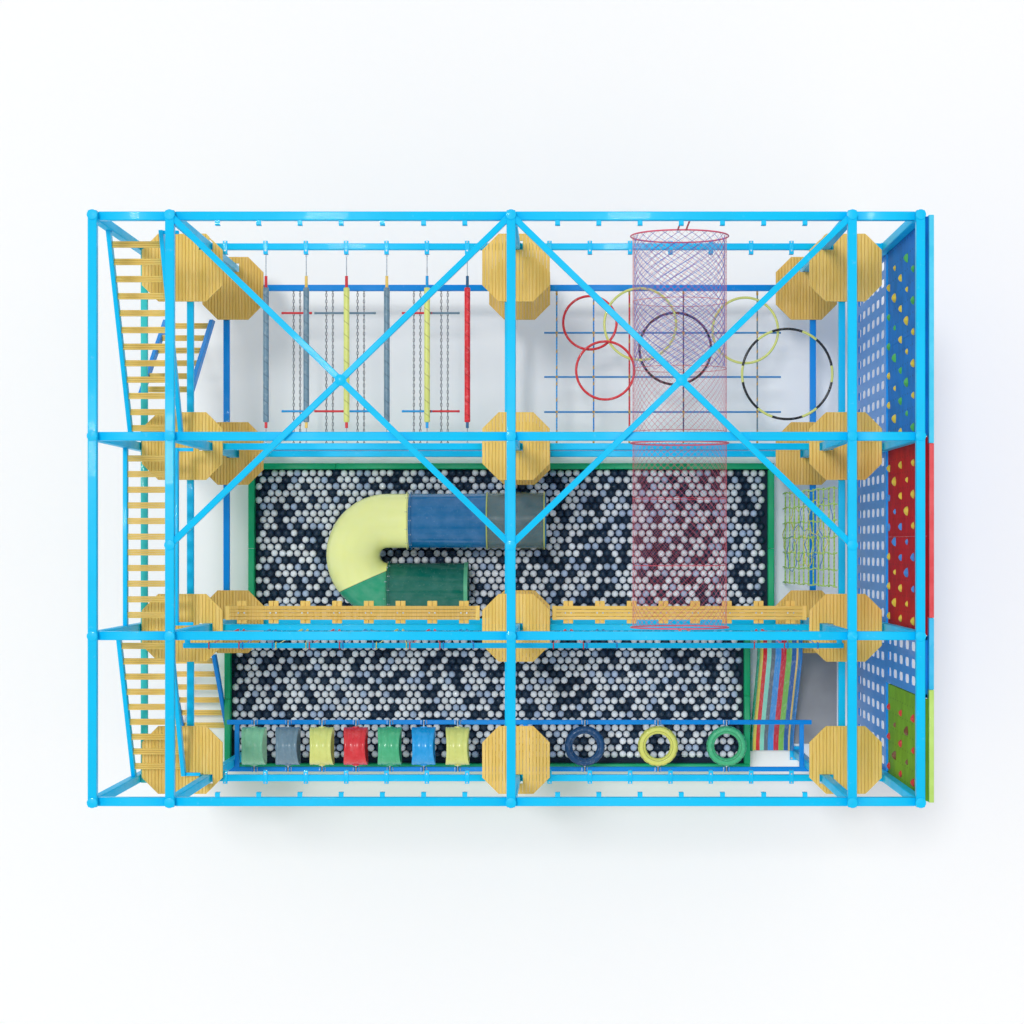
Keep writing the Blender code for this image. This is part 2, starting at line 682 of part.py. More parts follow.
def make_pit():
    rear, fore = pit_bounds()
    wall = PIT_WALL
    lap = wall / 2
    shape = bmesh.new()
    panels = (
        (rear[0], rear[1], rear[3] - wall, rear[3]),
        (rear[1] - wall, rear[1], rear[2], rear[3] - lap),
        (rear[0], rear[0] + wall, rear[2] - lap, rear[3] - lap),
        (fore[1] - wall + SHY, rear[1] - lap, rear[2], rear[2] + wall),
        (fore[1] - wall, fore[1], fore[2] + lap, fore[3] + lap),
        (fore[0], rear[0] + wall - SHY, fore[3] - wall, fore[3]),
        (fore[0], fore[0] + wall, fore[2] + lap, fore[3] - lap),
        (fore[0], fore[1], fore[2], fore[2] + wall),
    )
    for index, (left, right, front, back) in enumerate(panels):
        box(shape, (left, front, 0), (right, back, PIT_HEIGHT - index * TOUCH))
    weld(finish("pit_walls", shape, PIT_GREEN, 0.4), (0, rear[3] - lap, PIT_HEIGHT / 2))

    inner = wall + TOUCH
    bays = ((rear[0] + inner, rear[1] - inner, rear[2] + inner, rear[3] - inner),
            (fore[0] + inner, fore[1] - inner, fore[2] + inner, fore[3] - inner),
            (rear[0] + inner + SHY, fore[1] - inner - SHY, fore[3] - inner - lap, rear[2] + inner + lap))
    keep = INNER_PLATE / 2 + POST_CLEARANCE
    posts = ((COLUMNS[1], ROWS[3]), (COLUMNS[2], ROWS[3]), (COLUMNS[2], ROWS[2]))
    for name, low, high, colour in (("pit_mat", 0.0, MAT_THICKNESS, (0.20, 0.21, 0.23)),
                                    ("ball_fill", MAT_THICKNESS + TOUCH, BALL_LEVEL, (0.45, 0.47, 0.52))):
        shape = bmesh.new()
        for index, (left, right, front, back) in enumerate(bays):
            box(shape, (left, front, low), (right, back, high - index * SHY))
        holes = [((x - keep, y - keep, low - lap), (x + keep, y + keep, high + lap)) for x, y in posts]
        if name == "ball_fill":
            reach = SLIDE_LEG / 2 + POST_CLEARANCE
            for x, y in slide_leg_spots():
                holes.append(((x - reach, y - reach, low - lap), (x + reach, y + reach, high + lap)))
            (x, y), (far_x, far_y) = slide_leg_spots()
            sill = MAT_THICKNESS + SADDLE_THICKNESS + POST_CLEARANCE
            holes.append(((far_x, far_y - reach, low - lap), (x, far_y + reach, sill)))
            holes.append(((x - reach, min(y, far_y) - reach, low - lap),
                          (x + reach, max(y, far_y) + reach, sill)))
        inside = (COLUMNS[2] + 1, (rear[2] + rear[3]) / 2, (low + high) / 2)
        cut_item = weld(finish(name, shape, colour, 0.7), inside)
        for hole in holes:
            cut(cut_item, [hole])

    shape = bmesh.new()
    box(shape, (chute_right() + MAT_MARGIN, ROWS[3] + keep + MAT_MARGIN, 0),
        (COLUMNS[4] - OUTER_PLATE / 2 - MAT_MARGIN, ROWS[2] - keep - MAT_MARGIN, MAT_THICKNESS))
    finish("aisle_mat", shape, (0.30, 0.31, 0.33), 0.8)


def pipe(shape, stations, outer, inner):
    """A hollow pipe through stations of a point and a direction, open at both ends."""
    count = SLIDE_SIDES
    skins = []
    for radius in (outer, inner):
        skins.append([[shape.verts.new(point) for point in ring_at(*station, radius, count)]
                      for station in stations])
    for skin in skins:
        for near, far in zip(skin, skin[1:]):
            for side in range(count):
                after = (side + 1) % count
                shape.faces.new((near[side], near[after], far[after], far[side]))
    for end in (0, -1):
        for side in range(count):
            after = (side + 1) % count
            shape.faces.new((skins[0][end][side], skins[0][end][after],
                             skins[1][end][after], skins[1][end][side]))


def slide_point(distance):
    """The slide's centre line at a distance along it in plan, with its level heading."""
    straight = STRAIGHT_LENGTH + BEND_LEAD
    half_turn = math.pi * BEND_RADIUS
    z = SLIDE_MOUTH_Z - SLIDE_FALL * distance
    if distance <= straight:
        return Vector((SLIDE_MOUTH_X - distance, SLIDE_LINE_Y, z)), Vector((-1, 0, 0))
    turn_x = SLIDE_MOUTH_X - straight
    if distance <= straight + half_turn:
        angle = (distance - straight) / BEND_RADIUS
        point = Vector((turn_x - BEND_RADIUS * math.sin(angle),
                        SLIDE_LINE_Y - BEND_RADIUS * (1 - math.cos(angle)), z))
        return point, Vector((-math.cos(angle), -math.sin(angle), 0))
    rest = distance - straight - half_turn
    return Vector((turn_x + rest, SLIDE_LINE_Y - 2 * BEND_RADIUS, z)), Vector((1, 0, 0))


def bend_end():
    return STRAIGHT_LENGTH + BEND_LEAD + math.pi * BEND_RADIUS


def slide_section(name, start, end, steps, colour):
    shape = bmesh.new()
    stations = [slide_point(start + (end - start) * step / steps) for step in range(steps + 1)]
    pipe(shape, stations, SLIDE_RADIUS, SLIDE_RADIUS - SLIDE_WALL)
    finish(name, shape, colour, 0.3, smooth=True)


def slide_leg_distances():
    return (COLLAR_LENGTH + 0.35, bend_end() - math.pi * BEND_RADIUS / 2)


def slide_leg_spots():
    return [tuple(slide_point(distance)[0][:2]) for distance in slide_leg_distances()]


def make_tube_slide():
    slide_section("slide_straight", 0.0, STRAIGHT_LENGTH - FLANGE_SPACE, 1, NAVY)
    slide_section("slide_bend", STRAIGHT_LENGTH, bend_end() - FLANGE_SPACE, BEND_STEPS, LIME)
    slide_section("slide_exit", bend_end(), bend_end() + EXIT_LENGTH, 1, GREEN)

    collar = bmesh.new()
    bore = SLIDE_RADIUS + COLLAR_SPACE
    pipe(collar, [slide_point(COLLAR_LENGTH * step) for step in (0.02, 1.0)],
         bore + COLLAR_THICKNESS, bore)
    finish("slide_collar", collar, (0.30, 0.30, 0.08), 0.4, smooth=True)

    legs = bmesh.new()
    foot = SLIDE_LEG / 2
    base = MAT_THICKNESS + TOUCH
    for distance in slide_leg_distances():
        point, heading = slide_point(distance)
        top = point.z - SLIDE_RADIUS - SADDLE_SPACE
        across = Vector((abs(heading.y), abs(heading.x), 0))
        along = Vector((abs(heading.x), abs(heading.y), 0))
        half = across * (SADDLE_WIDTH / 2) + along * (foot + SHY)
        box(legs, (point.x - half.x, point.y - half.y, top - SADDLE_THICKNESS),
            (point.x + half.x, point.y + half.y, top))
        box(legs, (point.x - foot, point.y - foot, base), (point.x + foot, point.y + foot, top - SHY))
    (x, y), (far_x, far_y) = slide_leg_spots()
    sill = base + SADDLE_THICKNESS
    box(legs, (far_x, far_y - foot + SHY, base), (x, far_y + foot - SHY, sill))
    box(legs, (x - foot + SHY, min(y, far_y), base), (x + foot - SHY, max(y, far_y), sill - SHY))
    weld(finish("slide_supports", legs, BLUE, 0.4), (x, y, BALL_LEVEL))


def chute_left():
    return pit_bounds()[1][1] + MAT_MARGIN


def chute_right():
    return chute_left() + CHUTE_WIDTH


def make_striped_slide():
    """A lead-in on the lower platform, a straight fall and a short run-out, with side curbs."""
    shape = bmesh.new()
    left, right = chute_left(), chute_right()
    top = LOWER_DECK + TOUCH + CHUTE_THICKNESS
    edge = platform_line(2) - PLATFORM_DEPTH / 2 - FLIGHT_LANDING_SPACE
    end = ROWS[3] + HALF_TUBE
    line = ((edge + CHUTE_LEAD_IN, top), (edge, top), (end + CHUTE_RUN_OUT, CHUTE_END_Z),
            (end, CHUTE_END_Z))
    curbs = ((left, right, 0.0), (left - SHY, left + CHUTE_CURB_WIDTH, CHUTE_CURB),
             (right - CHUTE_CURB_WIDTH, right + SHY, CHUTE_CURB))
    for low_x, high_x, rise in curbs:
        outline = [(y, z + rise) for y, z in line]
        outline += [(y, z - CHUTE_THICKNESS + (SHY if rise else 0.0)) for y, z in reversed(line)]
        loft(shape, [[(x, y, z) for y, z in outline] for x in (low_x, high_x)])
    leg = HALF_TUBE
    foot_y = end + CHUTE_RUN_OUT / 2
    for x in (left + leg, right - leg):
        box(shape, (x - leg / 2, foot_y, 0), (x + leg / 2, foot_y + leg, CHUTE_END_Z - CHUTE_THICKNESS / 2))
    inside = ((left + right) / 2, end + CHUTE_RUN_OUT / 2, CHUTE_END_Z - CHUTE_THICKNESS / 2)
    weld(finish("striped_slide", shape, RED, 0.35), inside)


def make_rollers():
    """Poles on spindles between the back row's tabs and the second row's deck beam."""
    colours = (GREY_BLUE, GREY_BLUE, LIME, GREY_BLUE, LIME, RED)
    middle = (ROWS[0] + ROWS[1]) / 2 - ROLLER_FORWARD
    z = UPPER_ROW_TOP - BEAM_DEPTH / 2
    start, end = middle - ROLLER_LENGTH / 2, middle + ROLLER_LENGTH / 2
    near = ROWS[1] + HALF_BEAM + SPINDLE_END_SPACE
    far = ROWS[0] - HALF_BEAM - TAB_REACH - SPINDLE_END_SPACE
    neck, shoulder = ROLLER_NECK_LENGTH, ROLLER_SHOULDER
    profile = ((near, SPINDLE_RADIUS), (start - neck / 2, SPINDLE_RADIUS),
               (start - neck / 2, ROLLER_NECK_RADIUS), (start, ROLLER_NECK_RADIUS),
               (start + shoulder, ROLLER_RADIUS), (end - shoulder, ROLLER_RADIUS),
               (end, ROLLER_NECK_RADIUS), (end + neck, ROLLER_NECK_RADIUS),
               (end + neck, SPINDLE_RADIUS), (far, SPINDLE_RADIUS))
    for index, x in enumerate(bracket_spots(1)[TAB_COUNT - ROLLER_COUNT:]):
        shape = bmesh.new()
        loft(shape, [ring_at(Vector((x, y, z)), Vector((0, 1, 0)), radius, ROLLER_SIDES)
                     for y, radius in profile])
        finish(f"roller_{index + 1}", shape, colours[index], 0.4, origin=(x, middle, z), smooth=True)


def grid_ends():
    """The faces between which chains and ropes run, from the second row to the back."""
    return (ROWS[1] + HALF_BEAM + GRID_FRONT_SPACE + BEAM_WIDTH,
            ROWS[0] - GRID_BACK_INSET - HALF_BEAM)


def add_end_bars(shape, bay):
    """The two bars that hold a net of chains or ropes. The back one hangs under the deck lines,
    the front one lies beside the second row's beam."""
    front, back = grid_ends()
    top = LOWER_ROW_TOP
    left = COLUMNS[bay] + POST_FACE
    right = COLUMNS[bay + 1] - POST_FACE
    box(shape, (left, front - BEAM_WIDTH, top - BEAM_DEPTH), (right, front, top))
    far_left = lower_beam_x(bay) + (POST_CLEARANCE if bay == 2 else -HALF_BEAM)
    far_right = lower_beam_x(bay + 1) + (-POST_CLEARANCE if bay == 1 else HALF_BEAM)
    box(shape, (far_left, back, top - BEAM_DEPTH), (far_right, back + BEAM_WIDTH, top))


def grid_level():
    return LOWER_ROW_TOP - BEAM_DEPTH / 2


def make_chain_walk():
    """Pairs of chains between two end bars, with short step bars across each pair."""
    shape = bmesh.new()
    add_end_bars(shape, 1)
    front, back = grid_ends()
    z = grid_level()
    for offset in CHAIN_OFFSETS:
        x = COLUMNS[1] + offset
        for sign in (-1, 1):
            side = x + sign * CHAIN_STRAND_SPACE / 2
            bar(shape, (side, front - HALF_BEAM, z), (side, back + HALF_BEAM, z),
                CHAIN_THICKNESS, CHAIN_THICKNESS)
        for inset in STEP_BAR_INSETS:
            level = z + STEP_BAR_RADIUS / 2
            rod(shape, (x - STEP_BAR_LENGTH / 2, back - inset, level),
                (x + STEP_BAR_LENGTH / 2, back - inset, level), STEP_BAR_RADIUS, 6)
    weld(finish("chain_walk", shape, (0.30, 0.31, 0.33), 0.4, 0.7),
         ((COLUMNS[1] + COLUMNS[2]) / 2, back + HALF_BEAM, z))


def hoop_plan():
    """Across from the middle posts, in from the back bar, radius and layer of each hoop."""
    return (
        (0.92, 0.42, 0.35, 0),
        (2.04, 0.76, 0.47, 0),
        (2.96, 0.52, 0.43, 0),
        (1.58, 0.44, 0.47, 1),
        (1.12, 1.05, 0.38, 2),
    )


def make_rope_grid():
    """Ropes between two end bars, cross bars tied on them, and hoops lashed on the bars."""
    shape = bmesh.new()
    add_end_bars(shape, 2)
    front, back = grid_ends()
    z = grid_level()
    for offset in ROPE_OFFSETS:
        x = COLUMNS[2] + offset
        bar(shape, (x, front - HALF_BEAM, z), (x, back + HALF_BEAM, z), ROPE_THICKNESS, ROPE_THICKNESS)
    level = z + ROPE_THICKNESS / 2
    left, right = COLUMNS[2] + GRID_BAR_MARGIN, COLUMNS[3] - GRID_BAR_MARGIN
    for inset in GRID_BAR_INSETS:
        bar(shape, (left, back - inset, level), (right, back - inset, level),
            GRID_BAR_THICKNESS, GRID_BAR_THICKNESS)
    floor = level + GRID_BAR_THICKNESS / 2 + HOOP_THICKNESS / 4
    for across, inset, radius, layer in hoop_plan():
        add_hoop(shape, Vector((COLUMNS[2] + across, back - inset, floor + layer * HOOP_LAYER)), radius)
    weld(finish("rope_grid", shape, SKY, 0.6),
         ((COLUMNS[2] + COLUMNS[3]) / 2, back + HALF_BEAM, z))

    large = bmesh.new()
    level = LOWER_BEAM_TOP + 4 * SHY + TOUCH + HOOP_THICKNESS / 2
    add_hoop(large, Vector((COLUMNS[2] + LARGE_HOOP_ACROSS, back - LARGE_HOOP_INSET, level)),
             LARGE_HOOP_RADIUS)
    finish("large_hoop", large, (0.02, 0.02, 0.02), 0.35, smooth=True)


def add_hoop(shape, centre, radius):
    rings = []
    half = HOOP_THICKNESS / 2
    for angle in turns(HOOP_STEPS):
        outwards = Vector((math.cos(angle), math.sin(angle), 0))
        rings.append([centre + outwards * (radius + half * u) + Vector((0, 0, half * v))
                      for u, v in ((-1, 0), (0, -1), (1, 0), (0, 1))])
    loft(shape, rings, closed=True)


def make_net_tunnel():
    """A twelve-sided tube of netting with square rings, hung from the row frames' top rails."""
    x = COLUMNS[2] + TUNNEL_OFFSET
    depth = TUNNEL_RING
    stops = (ROWS[0] - depth / 2, ROWS[1] - depth / 2, ROWS[2] + HALF_TUBE - depth)
    shape = bmesh.new()
    outer = TUNNEL_RADIUS + TUNNEL_RING
    inner = TUNNEL_RADIUS - TUNNEL_NET
    crown = outer * math.cos(math.pi / TUNNEL_SIDES)
    half = TUNNEL_HANGER / 2
    for y in stops:
        add_tube_ring(shape, x, y, y + depth, TUNNEL_RADIUS - TUNNEL_NET / 2, outer)
        for sign in (-1, 1):
            side = x + sign * TUNNEL_HANGER * 2
            box(shape, (side - half, y + depth / 2 - half, TUNNEL_HEIGHT + crown - depth / 2),
                (side + half, y + depth / 2 + half, ROW_RAIL_TOP - TUBE - TOUCH))
    add_tube_ring(shape, x, stops[2] + SHY, stops[0] + depth - SHY, inner, TUNNEL_RADIUS)
    edge = (TUNNEL_RADIUS - TUNNEL_NET / 2) * math.cos(math.pi / TUNNEL_SIDES)
    weld(finish("net_tunnel", shape, (0.72, 0.08, 0.16), 0.8),
         (x, (ROWS[0] + ROWS[1]) / 2, TUNNEL_HEIGHT - edge))


def add_tube_ring(shape, x, near, far, inner, outer):
    section = []
    for angle in turns(TUNNEL_SIDES):
        spoke = Vector((math.cos(angle), 0, math.sin(angle)))
        base = Vector((x, 0, TUNNEL_HEIGHT))
        section.append([base + spoke * radius + Vector((0, y, 0))
                        for radius, y in ((inner, near), (outer, near), (outer, far), (inner, far))])
    loft(shape, section, closed=True)


def make_web_net():
    """A flat scramble net from the floor beside the pit up to the deck beam."""
    shape = bmesh.new()
    middle = (ROWS[1] + platform_line(2)) / 2
    foot = Vector((COLUMNS[3] - WEB_FOOT_OUT, middle, WEB_FOOT_Z))
    head = Vector((upper_beam_x(3) - HALF_BEAM - WEB_ROPE, middle, UPPER_BEAM_TOP - BEAM_DEPTH / 2))
    run = head - foot
    lift = Vector((-run.z, 0, run.x)).normalized() * (WEB_ROPE / 3)
    half = WEB_WIDTH / 2
    for column in range(WEB_COLUMNS):
        shift = Vector((0, WEB_WIDTH * (column / (WEB_COLUMNS - 1) - 0.5), 0))
        bar(shape, foot + shift, head + shift, WEB_ROPE, WEB_ROPE)
    for row in range(WEB_ROWS):
        point = foot + run * ((row + 0.5) / WEB_ROWS) + lift
        end = Vector((0, half + WEB_ROPE, 0))
        bar(shape, point - end, point + end, WEB_ROPE, WEB_ROPE)
    weld(finish("web_net", shape, LIME, 0.8), (foot + head) / 2)


def bridge_end(bay, side):
    """Where a bridge meets the platform at one end of its bay."""
    column = bay if side == 1 else bay + 1
    reach = PLATFORM_DEPTH / 2 if column == 2 else WIDE_PLATFORM_OVERHANG
    return COLUMNS[column] + side * (reach + BRIDGE_END_SPACE)


def make_bridges():
    """Planks on cross blocks that stand on the third row's deck beam. Ropes hang beside them from
    a hand rail and leave the net tunnel's mouth free."""
    line = ROWS[2] + BRIDGE_INBOARD
    low = UPPER_ROW_TOP + TOUCH
    plank_low = low + BLOCK_HEIGHT - SHY
    back = line + BRIDGE_WIDTH / 2 + BLOCK_OVERHANG
    rail_y = ROWS[2] - HANDRAIL_OUT
    half = HANDRAIL_WIDTH / 2
    rail = bmesh.new()
    for bay, side in ((1, "left"), (2, "right")):
        left, right = bridge_end(bay, 1), bridge_end(bay, -1)
        shape = bmesh.new()
        box(shape, (left, line - BRIDGE_WIDTH / 2, plank_low),
            (right, line + BRIDGE_WIDTH / 2, plank_low + BRIDGE_THICKNESS))
        pitch = (right - left) / BLOCK_COUNT
        for index in range(BLOCK_COUNT):
            x = left + pitch * (index + 0.5)
            box(shape, (x - BLOCK_WIDTH / 2, back - BLOCK_LENGTH, low),
                (x + BLOCK_WIDTH / 2, back, low + BLOCK_HEIGHT))
            at_tunnel = abs(x - COLUMNS[2] - TUNNEL_OFFSET) < TUNNEL_RADIUS + BLOCK_WIDTH
            for sign in () if at_tunnel else (-1, 1):
                foot = (x + sign * BLOCK_WIDTH / 4, back - BLOCK_LENGTH + SIDE_ROPE,
                        low + BLOCK_HEIGHT + SIDE_ROPE)
                head = (x + sign * pitch * 0.45, rail_y, HANDRAIL_Z)
                rod(rail, foot, head, SIDE_ROPE / 2, 6)
        weld(finish(f"beam_bridge_{side}", shape, TIMBER, 0.6),
             ((left + right) / 2, line, plank_low + BRIDGE_THICKNESS / 2))

    box(rail, (COLUMNS[1] - HALF_TUBE, rail_y - half, HANDRAIL_Z - half),
        (COLUMNS[3] + HALF_TUBE, rail_y + half, HANDRAIL_Z + half))
    for column in (1, 2, 3):
        x = COLUMNS[column]
        box(rail, (x - half, rail_y, HANDRAIL_Z - half + SHY),
            (x + half, ROWS[2] - HALF_TUBE - TOUCH, HANDRAIL_Z + half - SHY))
    weld(finish("bridge_handrail", rail, BLUE, 0.35), (COLUMNS[1], rail_y, HANDRAIL_Z))


def carrier_lines():
    """The two carrier beams of the front row. The front one runs along the posts' outer faces."""
    front = FRONT_FACE - CARRIER_WIDTH / 2
    return front, front + CARRIER_GAP + CARRIER_WIDTH


def pivot_height():
    return CARRIER_Z + CARRIER_WIDTH / 2 + PIVOT_ABOVE_CARRIER


def swing_centre(x):
    return Vector((x, sum(carrier_lines()) / 2, pivot_height()))


def barrel_spots():
    return [COLUMNS[1] + BARREL_FIRST + BARREL_PITCH * index for index in range(BARREL_COUNT)]


def tyre_spots():
    return [COLUMNS[2] + offset for offset in TYRE_OFFSETS]


def make_carriers():
    """Two carrier beams tied by arms beside the posts, with bearing cheeks for each pivot pin."""
    shape = bmesh.new()
    half = CARRIER_WIDTH / 2
    front, back = carrier_lines()
    for y in (front, back):
        box(shape, (COLUMNS[1] - HALF_TUBE, y - half, CARRIER_Z - half),
            (COLUMNS[3] + HALF_TUBE, y + half, CARRIER_Z + half))
    for column in (1, 2, 3):
        low = COLUMNS[column] - outward(column) * POST_FACE
        ends = sorted((low, low - outward(column) * CARRIER_WIDTH))
        box(shape, (ends[0], front, CARRIER_Z - half + SHY), (ends[1], back, CARRIER_Z + half - SHY))
    base = CARRIER_Z + half - SHY
    for x in barrel_spots() + tyre_spots():
        for y in (front, back):
            for sign in (-1, 1):
                inner = x + sign * (PIN_RADIUS + PIN_CLEARANCE)
                ends = sorted((inner, inner + sign * CHEEK_WIDTH))
                box(shape, (ends[0], y - half + SHY, base),
                    (ends[1], y + half - SHY, base + CHEEK_HEIGHT))
    weld(finish("swing_carriers", shape, DEEP_BLUE, 0.4), (COLUMNS[1], front, CARRIER_Z))


def add_pins(shape, centre, start):
    """Pins from inside the body's wall out over the middle of each carrier."""
    front, back = carrier_lines()
    for sign, line in ((-1, front), (1, back)):
        rod(shape, (centre.x, centre.y + sign * start, centre.z), (centre.x, line, centre.z),
            PIN_RADIUS, 8)


def make_barrels():
    """Open drums with their axis along X. The rims are scalloped: shorter above and below."""
    colours = (GREEN, GREY_BLUE, LIME, RED, GREEN, SKY, LIME)
    for index, x in enumerate(barrel_spots()):
        centre = swing_centre(x)
        shape = bmesh.new()
        rings = []
        for angle in turns(BARREL_SIDES, 0.0):
            spoke = Vector((0, math.cos(angle), math.sin(angle)))
            half = BARREL_LENGTH / 2 - BARREL_SCALLOP * math.sin(angle) ** 2
            rings.append([centre + spoke * (BARREL_RADIUS - wall) + Vector((side * half, 0, 0))
                          for wall, side in ((0, -1), (0, 1), (BARREL_WALL, 1), (BARREL_WALL, -1))])
        loft(shape, rings, closed=True)
        add_pins(shape, centre, BARREL_RADIUS - BARREL_WALL / 2)
        item = finish(f"barrel_{index + 1}", shape, colours[index], 0.35, origin=centre)
        weld(item, centre + Vector((0, BARREL_RADIUS - BARREL_WALL / 2, 0)))


def make_tyres():
    for index, x in enumerate(tyre_spots()):
        centre = swing_centre(x)
        shape = bmesh.new()
        rings = []
        middle = TYRE_RADIUS - TYRE_TUBE
        for angle in turns(TYRE_STEPS, 0.0):
            spoke = Vector((math.cos(angle), math.sin(angle), 0))
            rings.append([centre + spoke * (middle + TYRE_TUBE * math.cos(turn))
                          + Vector((0, 0, TYRE_TUBE * TYRE_CROWN * math.sin(turn)))
                          for turn in turns(TYRE_SECTION, 0.0)])
        loft(shape, rings, closed=True)
        add_pins(shape, centre, TYRE_RADIUS - TYRE_TUBE)
        item = finish(f"tyre_{index + 1}", shape, (NAVY, YELLOW, GREEN)[index], 0.5, origin=centre)
        weld(item, centre + Vector((0, middle, 0)))


clear_scene()
make_row_frames()
make_roof()
make_decks()
make_stairs()
make_wall()
make_pit()
make_tube_slide()
make_striped_slide()
make_rollers()
make_chain_walk()
make_rope_grid()
make_net_tunnel()
make_web_net()
make_bridges()
make_carriers()
make_barrels()
make_tyres()
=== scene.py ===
import math
import bpy
import numpy as np
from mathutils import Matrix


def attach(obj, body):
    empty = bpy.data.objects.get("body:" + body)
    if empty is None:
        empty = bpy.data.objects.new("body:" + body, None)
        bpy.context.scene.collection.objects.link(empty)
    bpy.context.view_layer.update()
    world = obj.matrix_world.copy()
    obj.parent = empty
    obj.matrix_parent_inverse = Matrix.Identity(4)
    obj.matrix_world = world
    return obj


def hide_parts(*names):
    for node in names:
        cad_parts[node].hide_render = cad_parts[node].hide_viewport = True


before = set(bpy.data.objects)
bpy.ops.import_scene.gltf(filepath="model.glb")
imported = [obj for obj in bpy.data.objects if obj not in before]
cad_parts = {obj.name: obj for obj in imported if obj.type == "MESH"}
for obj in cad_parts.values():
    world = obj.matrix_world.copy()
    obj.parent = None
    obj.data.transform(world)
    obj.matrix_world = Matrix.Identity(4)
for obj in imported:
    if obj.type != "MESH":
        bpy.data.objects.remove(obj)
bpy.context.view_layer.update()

# the frame's own grid, as the solids have it (metres, +Z up)
grid = {
    "columns": (-4.55, -3.70, 0.05, 3.80, 4.55),   # post lines, left to right
    "rows": (3.23, 0.80, -1.40, -3.23),            # post lines, back to front
    "roofTop": 6.25,
    "tube": 0.10,
    "upperDeck": 3.60,
    "lowerDeck": 1.30,
    "upperBeamTop": 3.4795,                        # beams along X, under the deck lines
    "lowerBeamTop": 1.1795,
}
columns, rows = grid["columns"], grid["rows"]


def linked(name, data):
    # a new object for the data, in the scene's collection
    made = bpy.data.objects.new(name, data)
    bpy.context.scene.collection.objects.link(made)
    return made


# camera: straight down, a little right of the middle
view = {
    "place": (0.64, -0.41, 32.2),
    "lens": 83.1,
    "shiftX": -0.0515,
    "shiftY": 0.0332,
}
cameraData = bpy.data.cameras.new("photoCamera")
cameraData.lens = view["lens"]
cameraData.sensor_width = 36
cameraData.shift_x = view["shiftX"]
cameraData.shift_y = view["shiftY"]
cameraData.clip_end = 200
camera = linked("photoCamera", cameraData)
camera.location = view["place"]
bpy.context.scene.camera = camera
print("camera placed")


# mesh tools: every shape is worked out as whole arrays of points
class Bag:
    # gathers surfaces, each with a run (metres along, metres round, a number of its own) per point
    def __init__(self):
        self.points, self.faces, self.slots, self.runs = [], [], [], []
        self.total = 0

    def add(self, points, faces, slot=0, run=None, mark=0.0):
        # signed volume = sum of corner . (corner x corner) over all triangles; where it is negative,
        # the surface is turned the right way out
        points = np.asarray(points, float).reshape(-1, 3)
        volume = 0.0
        for face in faces:
            corner = points[face]
            for step in range(1, face.shape[1] - 1):
                cross = np.cross(corner[:, step], corner[:, step + 1])
                volume += np.einsum("ij,ij->", corner[:, 0], cross)
        for face in faces:
            self.faces.append((face[:, ::-1] if volume < 0 else face) + self.total)
            self.slots.append(np.full(len(face), slot))
        if run is None:
            run = np.zeros((len(points), 3))
        run = np.array(run, float).reshape(-1, 3)
        run[:, 2] += mark
        self.points.append(points)
        self.runs.append(run)
        self.total += len(points)

    def build(self, name, body, slot, materials, replaced=(), sharp=38):
        # one mesh of everything gathered; edges over the sharp angle (degrees) stay hard
        mesh = bpy.data.meshes.new(name)
        points = np.concatenate(self.points).astype(np.float32)
        loops = np.concatenate([face.ravel() for face in self.faces]).astype(np.int32)
        sizes = np.concatenate([np.full(len(face), face.shape[1]) for face in self.faces])
        starts = np.concatenate([[0], np.cumsum(sizes)[:-1]]).astype(np.int32)
        mesh.vertices.add(len(points))
        mesh.vertices.foreach_set("co", points.ravel())
        mesh.loops.add(len(loops))
        mesh.loops.foreach_set("vertex_index", loops)
        mesh.polygons.add(len(sizes))
        mesh.polygons.foreach_set("loop_start", starts)
        mesh.polygons.foreach_set("material_index", np.concatenate(self.slots).astype(np.int32))
        mesh.update(calc_edges=True)
        mesh.validate()
        mesh.shade_smooth()
        if sharp:
            mesh.set_sharp_from_angle(angle=math.radians(sharp))
        layer = mesh.attributes.new("run", "FLOAT_VECTOR", "POINT")
        layer.data.foreach_set("vector", np.concatenate(self.runs).astype(np.float32).ravel())
        for material in materials:
            mesh.materials.append(material)
        piece = linked(name, mesh)
        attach(piece, body)
        if replaced:
            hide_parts(*replaced)


def netFaces(across, around, closeAcross, closeAround):
    # quads between neighbours on a grid of points, joined end to end where it closes
    i = np.arange(across if closeAcross else across - 1)
    j = np.arange(around if closeAround else around - 1)
    i, j = np.meshgrid(i, j, indexing="ij")
    nextI, nextJ = (i + 1) % across, (j + 1) % around
    corners = (i * around + j, i * around + nextJ, nextI * around + nextJ, nextI * around + j)
    return np.stack(corners, -1).reshape(-1, 4)


def tubeFaces(rings, around, loop=False):
    # quads between rings of points, and a face over each end where the tube is open
    faces = [netFaces(rings, around, loop, True)]
    if not loop:
        end = np.arange(around)
        faces += [end[None], (end[::-1] + (rings - 1) * around)[None]]
    return faces


def unit(vectors):
    # each vector over its own length
    return vectors / np.linalg.norm(vectors, axis=-1, keepdims=True)


def turns(count):
    # even steps round a full turn
    return np.arange(count) * 2 * math.pi / count


def lengths(path):
    # distance along the path at each of its points: a running sum of its steps
    return np.concatenate([[0], np.cumsum(np.linalg.norm(np.diff(path, axis=0), axis=1))])


